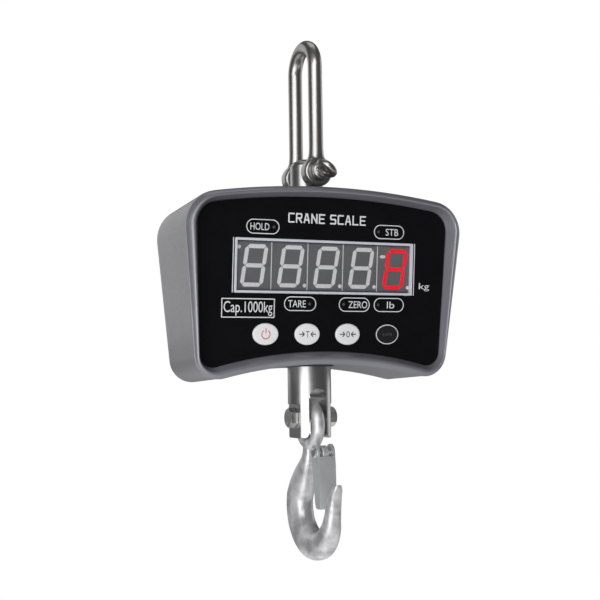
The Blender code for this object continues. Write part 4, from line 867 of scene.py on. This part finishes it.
def build_rear_details():
    plate = [rounded(DOOR[0] - 2 * inset, DOOR[1] - 2 * inset, 4.0 * MM - inset, centre=(0.0, BATTERY_Z))
             for inset in (0.0, 0.0, 0.12 * MM, 0.4 * MM)]
    levels = (REAR - 2.0 * MM, REAR - 0.4 * MM, REAR - 0.12 * MM, REAR)
    cuts = []
    for x, z in DOOR_SCREWS:
        cuts.append(rear_turned(mm((3.1, 1.0), (3.1, -0.4), (1.8, -1.7), (1.8, -8.3)), x, z))
    for k in range(-3, 4):
        middle = (0.0, DATUM_Z + BATTERY_Z + 15.0 * MM + k * 2.0 * MM)
        groove = rounded(18.0 * MM, 1.0 * MM, 0.49 * MM, 4, middle)
        cuts.append(prism(groove, REAR - 0.4 * MM, REAR + 1 * MM, "Y"))
    door = shape("door_plate", loft([on_rear(p, y) for p, y in zip(plate, levels)]), cuts)
    dress(door, "shell", "housing", "housing_paint", "battery_door")
    places = [(f"housing_screw_{i + 1}", *place, 4.0, 2.0, 15.0) for i, place in enumerate(POSTS)]
    places += [(f"cell_screw_{i + 1}", *place, 4.0, 2.0, 24.1) for i, place in enumerate(CELL_SCREWS)]
    places += [(f"door_screw_{i + 1}", *place, 2.8, 1.5, 6.0) for i, place in enumerate(DOOR_SCREWS)]
    for node, x, z, head, shank, length in places:
        solid = rear_turned(screw_head(head * MM, shank * MM, length * MM), x, z)
        slot = cross_slot(x, z, head * 0.6 * MM, head * 0.22 * MM, 1.3 * MM)
        made = shape("crosshead_" + node, solid, slot)
        dress(made, "zinc", "housing", "zinc_steel", node)
    centre = (-60.0 * MM, 0.0, DATUM_Z - 24.0 * MM)
    back, face = REAR - 12.0 * MM, REAR - 0.4 * MM
    profile = mm((5.5, 0.0), base=(0.0, back))
    profile += mm((5.5, -0.3), (5.2, 0.0), (3.5, 0.0), (3.2, -0.4), base=(0.0, face))
    profile += mm((3.2, 2), (1.0, 2), base=(0.0, back))
    profile += mm((1.0, -1.4), (0.7, -1.0), base=(0.0, face))
    socket = shape("socket_body", turned(profile, "Y", centre, 48))
    dress(socket, "black", "housing", "plastic_dark", "charging_socket")


def build_cell():
    radius, top = 12.0 * MM, PIN_Z + 12.2 * MM
    cell_top = DATUM_Z + 70.0 * MM
    profile = [(radius, cell_top - 4 * MM), (radius, top - 6 * MM)]
    for turn in range(8, 89, 8):
        profile.append((radius * cos(radians(turn)), top - 6 * MM + 6 * MM * sin(radians(turn))))
    block = box((-19 * MM, -13 * MM, DATUM_Z - 37.6 * MM), (19 * MM, 13 * MM, cell_top))
    floor = DATUM_Z - 22.0 * MM
    cuts = [rod(PIN_BORE, -15 * MM, 15 * MM, "Y", (0, 0, PIN_Z)),
            rod(9.0 * MM, -15 * MM, 15 * MM, "Y", (0, 0, DATUM_Z + 40 * MM)),
            box((-14.5 * MM, -15 * MM, floor), (14.5 * MM, 15 * MM, floor + 27 * MM)),
            rod(7.3 * MM, DATUM_Z - 40 * MM, floor + 2 * MM)]
    for _, z in CELL_SCREWS:
        cuts.append(rod(2.3 * MM, 8.2 * MM, 15 * MM, "Y", (0.0, 0.0, DATUM_Z + z), 24))
    made = shape("cell_block", block, cuts, [turned(profile)], bevel=0.35 * MM)
    dress(made, "turned", "housing", "cell_steel", "load_cell")


# ---------------------------------------------------------------- shackle

def build_shackle():
    radius, bow = 5.25 * MM, 18.0 * MM
    bow_z = radius - bow
    sides = 40

    def ring(y, z, across, turn):
        return [(across * cos(t), y + radius * sin(t) * cos(turn), z + radius * sin(t) * sin(turn))
                for t in (2 * pi * i / sides for i in range(sides))]

    leg = [(3.0, 1.80), (5.0, 1.70), (7.0, 1.52), (9.0, 1.33), (11.0, 1.18), (13.0, 1.08), (16.0, 1.02),
           (20.0, 1.0), (35.0, 1.0), (50.0, 1.0), (65.0, 1.0)]
    loops = [ring(-bow, PIN_Z + up * MM, radius * wide, pi) for up, wide in leg]
    loops += [ring(bow * cos(pi - pi * i / 40), bow_z + bow * sin(pi - pi * i / 40), radius, pi - pi * i / 40)
              for i in range(41)]
    loops += [ring(bow, PIN_Z + up * MM, radius * wide, 0.0) for up, wide in reversed(leg)]
    ears = []
    for side in (-1, 1):
        outer, soft = 11.0 * MM, 2.2 * MM
        profile = [(outer - 3.4 * MM, -radius)]
        profile += [(outer - soft + soft * sin(radians(t)), -radius + soft * (1 - cos(radians(t))))
                    for t in range(10, 91, 16)]
        profile += [(r, -h) for r, h in reversed(profile)]
        ears.append(turned(profile, "Y", (0.0, side * bow, PIN_Z), 64))
    reach = 30.0 * MM
    bore = rod(PIN_BORE, -reach, reach, "Y", (0, 0, PIN_Z))
    made = shape("shackle_forging", loft(loops), [bore], ears, remesh=0.5 * MM, relax=12)
    dress(made, "shackle", "shackle", "shackle_steel", "shackle_bow")
    face = bow + radius
    shank, collar = 5.0 * MM, 6.75 * MM
    back, front = -face - GAP, -face - GAP - 5.0 * MM
    profile = mm((-0.8, 1.6), (-0.25, 1.4), (0.0, 0.8), base=(shank, face))
    profile += [(shank, back), (collar - 0.5 * MM, back), (collar, back - 0.5 * MM)]
    profile += mm((0.0, 0.8), (-0.5, 0.25), (-1.6, 0.0), base=(collar, front))
    profile.append((shank, front - 1.0 * MM))
    eye, half = 8.5 * MM, 2.5 * MM
    disc = mm((-2.2, 0.0), (-0.9, 0.35), (-0.2, 1.1), (0.0, 1.9), base=(eye, -half))
    disc += [(r, -h) for r, h in reversed(disc)]
    lean = Matrix.Translation((0.0, front - eye + 1.6 * MM, PIN_Z)) @ Matrix.Rotation(radians(-50), 4, "Y")
    hole = moved(rod(3.5 * MM, -eye, eye, "X", sides=48), lean)
    grip = moved(turned(disc, "X"), lean)
    shaft = turned(profile, "Y", (0, 0, PIN_Z))
    made = shape("shackle_pin_body", shaft, [hole], [grip], remesh=0.35 * MM, relax=6)
    dress(made, "shackle", "shackle", "shackle_steel", "shackle_pin")


# ---------------------------------------------------------------- swivel, hook and latch

def build_clevis():
    radius, foot = 16.0 * MM, CLEVIS_TOP - 60.6 * MM
    stem, stem_top = 7.0 * MM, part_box("clevis")[1].z
    edge = 1.2 * MM
    nick = 0.35 * MM
    profile = [(radius - edge, foot), (radius - nick, foot + nick), (radius, foot + edge),
               (radius, CLEVIS_TOP - edge), (radius - nick, CLEVIS_TOP - nick), (radius - edge, CLEVIS_TOP),
               (stem, CLEVIS_TOP),
               (stem, stem_top - edge), (stem - edge, stem_top)]
    half, chamfer = 7.0 * MM, 2.6 * MM
    arch = foot + 36.0 * MM - half
    flare = [(half + 2 * chamfer, foot - chamfer), (half + 0.5 * chamfer, foot + 0.4 * chamfer),
             (half, foot + chamfer * 1.4)]
    slot = [(-x, z) for x, z in flare]
    slot += [(half * cos(pi - pi * i / 24), arch + half * sin(pi - pi * i / 24)) for i in range(25)]
    slot += flare[::-1]
    flat_top = BOLT_Z + BOLT_FLATS / sqrt(3) + 2.5 * MM
    cuts = [prism(slot, -18 * MM, 18 * MM, "Y"), rod(BOLT_BORE, -18 * MM, 18 * MM, "X", (0, 0, BOLT_Z))]
    for side in (-1, 1):
        near, far = sorted((side * FLAT, side * 18 * MM))
        cuts.append(box((near, -18 * MM, foot - 2 * MM), (far, 18 * MM, flat_top)))
    made = shape("clevis_body", turned(profile, sides=96), cuts, bevel=0.45 * MM)
    dress(made, "turned", "swivel", "turned_steel", "clevis")


def hex_piece(name, low, high, flats, dome):
    """A hexagon along X with corners turned off at both ends, or at the dome end only."""
    reach = flats / sqrt(3) + 0.1 * MM
    solid = prism(shifted(hexagon(flats), 0.0, BOLT_Z), low, high, "X")
    cap = 1.1 * MM
    profile = [(reach - cap if dome <= 0 else reach, low), (reach, low + cap * 0.6),
               (reach, high - cap * 0.6), (reach - cap if dome >= 0 else reach, high)]
    made = new_object(name, solid)
    tool = new_object(name + "_tool", turned(profile, "X", (0, 0, BOLT_Z), 96))
    modify(made, "BOOLEAN", operation="INTERSECT", solver="EXACT", object=tool)
    settle(made)
    bpy.data.objects.remove(tool)
    mesh_data = bmesh.new()
    mesh_data.from_mesh(made.data)
    bpy.data.objects.remove(made)
    return mesh_data


def build_bolt():
    head = -FLAT - GAP
    nut_end = FLAT + GAP + 6.8 * MM
    end = nut_end + 1.6 * MM
    profile = mm((3.4, -1), (4.0, -0.4), base=(0.0, head)) + mm((4.0, -0.7), (3.3, 0), base=(0.0, end))
    shank = turned(profile, "X", (0, 0, BOLT_Z), 48)
    hex_head = hex_piece("bolt_hex", head - 5.3 * MM, head, BOLT_FLATS, -1)
    made = shape("bolt_body", shank, (), [hex_head], bevel=0.15 * MM)
    dress(made, "zinc", "swivel", "zinc_steel", "clevis_bolt")
    nut = hex_piece("nut_hex", FLAT + GAP, nut_end, BOLT_FLATS, 0)
    bore = rod(BOLT_BORE, FLAT, end + 1 * MM, "X", (0, 0, BOLT_Z), 48)
    dress(shape("nut_body", nut, [bore], bevel=0.15 * MM), "zinc", "swivel", "zinc_steel", "lock_nut")


def hook_stations():
    neck = [((0.4, -22.0), -12, 5.2, 5.0), ((1.6, -28.0), -12, 5.2, 5.2), ((4.6, -34.5), -32, 7.0, 6.0),
            ((9.6, -42.0), -36, 9.6, 7.0), ((15.2, -51.0), -30, 11.8, 8.0)]
    stations = [(y * MM, z * MM, -turn, deep * MM, thick * MM) for (y, z), turn, deep, thick in neck]
    bowl = [(-10, 44.7, 25.2, 8.4), (12, 44.5, 25.5, 8.5), (32, 43.1, 25.0, 8.6), (52, 40.9, 23.8, 8.6),
            (72, 38.7, 22.2, 8.5), (92, 37.1, 20.8, 8.4), (112, 35.3, 19.0, 8.1), (132, 33.3, 16.6, 7.6),
            (152, 31.7, 13.8, 6.8), (170, 30.5, 11.6, 5.9)]
    for turn, outer, deep, thick in bowl:
        middle = (outer - deep / 2) * MM
        y = BOWL_CENTRE[0] + middle * cos(radians(turn))
        z = BOWL_CENTRE[1] - middle * sin(radians(turn))
        stations.append((y, z, -turn, deep / 2 * MM, thick * MM))
    tip = [((-39.4, -57.0), 186, 5.1, 4.9), ((-43.0, -50.5), 194, 4.2, 4.0), ((-45.4, -46.6), 205, 2.6, 2.6)]
    stations += [(y * MM, z * MM, -turn, deep * MM, thick * MM) for (y, z), turn, deep, thick in tip]
    return stations


def smooth_stations(rows):
    """Extra stations on a smooth curve through the given ones."""
    between = 4
    dense = []
    for i in range(len(rows) - 1):
        a, b, c, d = (rows[k] for k in (max(i - 1, 0), i, i + 1, min(i + 2, len(rows) - 1)))
        for k in range(between):
            t = k / between
            dense.append(tuple(0.5 * (2 * q + (r - p) * t + (2 * p - 5 * q + 4 * r - s) * t ** 2
                                      + (3 * q - p - 3 * r + s) * t ** 3) for p, q, r, s in zip(a, b, c, d)))
    return dense + [rows[-1]]


def build_hook():
    loops = []
    sides = 36
    for y, z, turn, deep, thick in smooth_stations(hook_stations()):
        turn = radians(turn)
        loop = []
        for i in range(sides):
            t = 2 * pi * i / sides
            c, s = cos(t), sin(t)
            across = thick * abs(s) ** 0.78 * (1 if s >= 0 else -1)
            out = deep * abs(c) ** 0.78 * (1 if c >= 0 else -1)
            loop.append((across, y + out * cos(turn), BOLT_Z + z + out * sin(turn)))
        loops.append(loop)
    bar_radius = 4.9 * MM
    middle = 9.5 * MM + bar_radius
    eye_z = BOLT_Z + 4.3 * MM - 9.5 * MM
    turns = [2 * pi * i / 28 for i in range(28)]
    bar_loop = [(middle + bar_radius * cos(t), bar_radius * sin(t)) for t in turns]
    eye = turned(bar_loop, "X", (0, 0, eye_z), 72, ring=True)
    y, z = LATCH_Y, LATCH_Z
    lug = [(y + 5.2 * MM * cos(radians(t)), z + 5.2 * MM * sin(radians(t))) for t in range(60, 301, 12)]
    lug += [(0.0, z - 9.0 * MM), (0.0, z + 6.0 * MM)]
    hole = rod(LATCH_BORE, -8 * MM, 8 * MM, "X", (0.0, y, z), 32)
    lug = prism(lug, -2.4 * MM, 2.4 * MM, "X")
    made = shape("hook_forging", loft(loops), [hole], [eye, lug], remesh=0.55 * MM, relax=3)
    normals = [v.normal.copy() for v in made.data.vertices]
    for v, normal in zip(made.data.vertices, normals):
        push = noise.noise(v.co * 120.0) * 0.20 * MM + noise.noise(v.co * 380.0) * 0.14 * MM
        v.co -= normal * (abs(push) + 0.02 * MM)
    dress(made, "hook", "hook", "forged_zinc", "hook")


def build_latch():
    y, z = LATCH_Y, LATCH_Z
    half, sheet, lobe = 6.6 * MM, 1.3 * MM, 6.2 * MM
    foot = z - 39.5 * MM
    cheek = [(y + lobe * cos(radians(t)), z + lobe * sin(radians(t))) for t in range(-20, 181, 10)]
    cheek += mm((-6.3, -3.0), (-7.0, -8.0), base=(y, z))
    cheek += mm((-7.8, 0), (-1.6, 0), (-0.4, 0.8), (0.8, 4.0), base=(y, foot))
    web = mm((-6.2, -2.6), (-6.9, -6.4), base=(y, z)) + mm((-7.79, 0.02), base=(y, foot))
    web += [(across + sheet, up) for across, up in reversed(web)]
    near, far = half - sheet, half
    overlap = sheet / 2
    hole = rod(LATCH_BORE, -far - 1 * MM, far + 1 * MM, "X", (0.0, y, z), 40)
    extras = [prism(cheek, near, far, "X"), prism(web, -near - overlap, near + overlap, "X")]
    made = shape("latch_plate", prism(cheek, -far, -near, "X"), [hole], extras, bevel=0.4 * MM)
    dress(made, "sheet", "latch", "zinc_steel", "latch")
    head, shank = far + GAP, 2.0 * MM
    wide = shank + 1.6 * MM
    rivet = mm((-1.6, -1.3), (-0.7, -1.15), (-0.15, -0.75), (0, 0), base=(wide, -head)) + [(shank, -head)]
    rivet += [(r, -h) for r, h in reversed(rivet)]
    dress(shape("latch_rivet", turned(rivet, "X", (0, y, z), 48)), "zinc", "hook", "zinc_steel", "latch_pin")


CARRIED = {
    "turned": ("lower_race", "upper_race", "ball_cage", "cell_spacer_1", "cell_spacer_2"),
    "zinc": ("swivel_nut", "latch_spring"),
    "rubber": ("housing_gasket", "gauge_lead"),
    "black": ("power_switch", "tare_switch", "zero_switch", "spare_switch", "buzzer"),
    "wrap": ("battery_pack",),
    "silicone": ("gauge_potting",),
    "board": ("display_board", "main_board"),
}


def dress_frame():
    for look, names in CARRIED.items():
        for name in names:
            nodes[name].data.materials.clear()
            nodes[name].data.materials.append(LOOKS[look].material)


# ---------------------------------------------------------------- floor, light and camera

def build_stage():
    floor_z = -0.75
    mesh_data = bmesh.new()
    bmesh.ops.create_circle(mesh_data, cap_ends=True, segments=96, radius=1.2)
    floor = new_object("floor", moved(mesh_data, Matrix.Translation((0.0, 0.0, floor_z))))
    look = Look("floor_paper")
    fine = look.grain(40.0, 3.0, 0.5)
    look.colour(look.blend(look.spread(fine, 0.0, 1.0), (0.90, 0.90, 0.90), (0.92, 0.92, 0.92)))
    look.rough(look.spread(fine, 0.8, 0.9))
    look.shader.inputs["Emission Color"].default_value = (1.0, 1.0, 1.0, 1.0)
    look.shader.inputs["Emission Strength"].default_value = 0.3
    floor.data.materials.append(look.material)


def area_light(name, place, target, size, power):
    light = bpy.data.lights.new(name, "AREA")
    light.shape = "RECTANGLE"
    light.size, light.size_y = size
    light.energy = power
    lamp = bpy.data.objects.new(name, light)
    bpy.context.scene.collection.objects.link(lamp)
    lamp.location = place
    lamp.rotation_euler = (Vector(target) - Vector(place)).to_track_quat("-Z", "Y").to_euler()


def build_light():
    world = bpy.data.worlds.new("studio")
    bpy.context.scene.world = world
    world.use_nodes = True
    tree = world.node_tree
    tree.nodes.clear()
    out = tree.nodes.new("ShaderNodeOutputWorld")
    mix = tree.nodes.new("ShaderNodeMixShader")
    seen = tree.nodes.new("ShaderNodeBackground")
    soft = tree.nodes.new("ShaderNodeBackground")
    path = tree.nodes.new("ShaderNodeLightPath")
    seen.inputs["Color"].default_value = (1.0, 1.0, 1.0, 1.0)
    seen.inputs["Strength"].default_value = 1.0
    soft.inputs["Color"].default_value = (1.0, 1.0, 1.0, 1.0)
    soft.inputs["Strength"].default_value = 0.09
    tree.links.new(path.outputs["Is Camera Ray"], mix.inputs["Fac"])
    tree.links.new(soft.outputs["Background"], mix.inputs[1])
    tree.links.new(seen.outputs["Background"], mix.inputs[2])
    tree.links.new(mix.outputs["Shader"], out.inputs["Surface"])
    middle = (0.0, 0.0, -0.2)
    area_light("top_box", (0.1, 0.25, 1.3), middle, (1.0, 0.8), 2.0)
    area_light("left_box", (-1.2, -0.95, -0.2), middle, (1.2, 1.6), 13.0)
    area_light("right_box", (1.35, 0.25, 0.0), middle, (0.7, 1.3), 3.0)
    area_light("back_box", (-0.4, 1.4, 0.3), middle, (1.2, 1.2), 3.0)
    area_light("front_box", (-0.5, -1.2, 0.5), middle, (0.8, 0.6), 4.0)
    area_light("low_box", (-0.7, -0.9, -0.72), middle, (1.1, 0.8), 5.0)


def build_camera():
    data = bpy.data.cameras.new("view")
    camera = bpy.data.objects.new("view", data)
    bpy.context.scene.collection.objects.link(camera)
    data.sensor_width = 36.0
    data.lens = 69.98
    yaw, pitch, roll = radians(24.136), radians(3.791), radians(0.83)
    ahead0 = Vector((sin(yaw), cos(yaw), 0.0))
    right0 = Vector((cos(yaw), -sin(yaw), 0.0))
    ahead = ahead0 * cos(pitch) + Vector((0.0, 0.0, sin(pitch)))
    up0 = Vector((0.0, 0.0, cos(pitch))) - ahead0 * sin(pitch)
    right = right0 * cos(roll) - up0 * sin(roll)
    up = right0 * sin(roll) + up0 * cos(roll)
    target = Vector((0.0, 0.0, DATUM_Z + 2.69 * MM)) - right0 * 6.015 * MM
    place = target - ahead * 0.86477
    camera.matrix_world = Matrix(((right.x, up.x, -ahead.x, place.x), (right.y, up.y, -ahead.y, place.y),
                                  (right.z, up.z, -ahead.z, place.z), (0.0, 0.0, 0.0, 1.0)))
    data.clip_start, data.clip_end = 0.01, 50.0
    bpy.context.scene.camera = camera


build_shell()
build_frame()
build_seals()
build_panel()
build_display()
build_module_joints()
build_print()
build_keys()
build_rear_details()
build_cell()
build_shackle()
build_clevis()
build_bolt()
build_hook()
build_latch()
dress_frame()
build_stage()
build_light()
build_camera()
bpy.context.scene.view_settings.view_transform = "Standard"
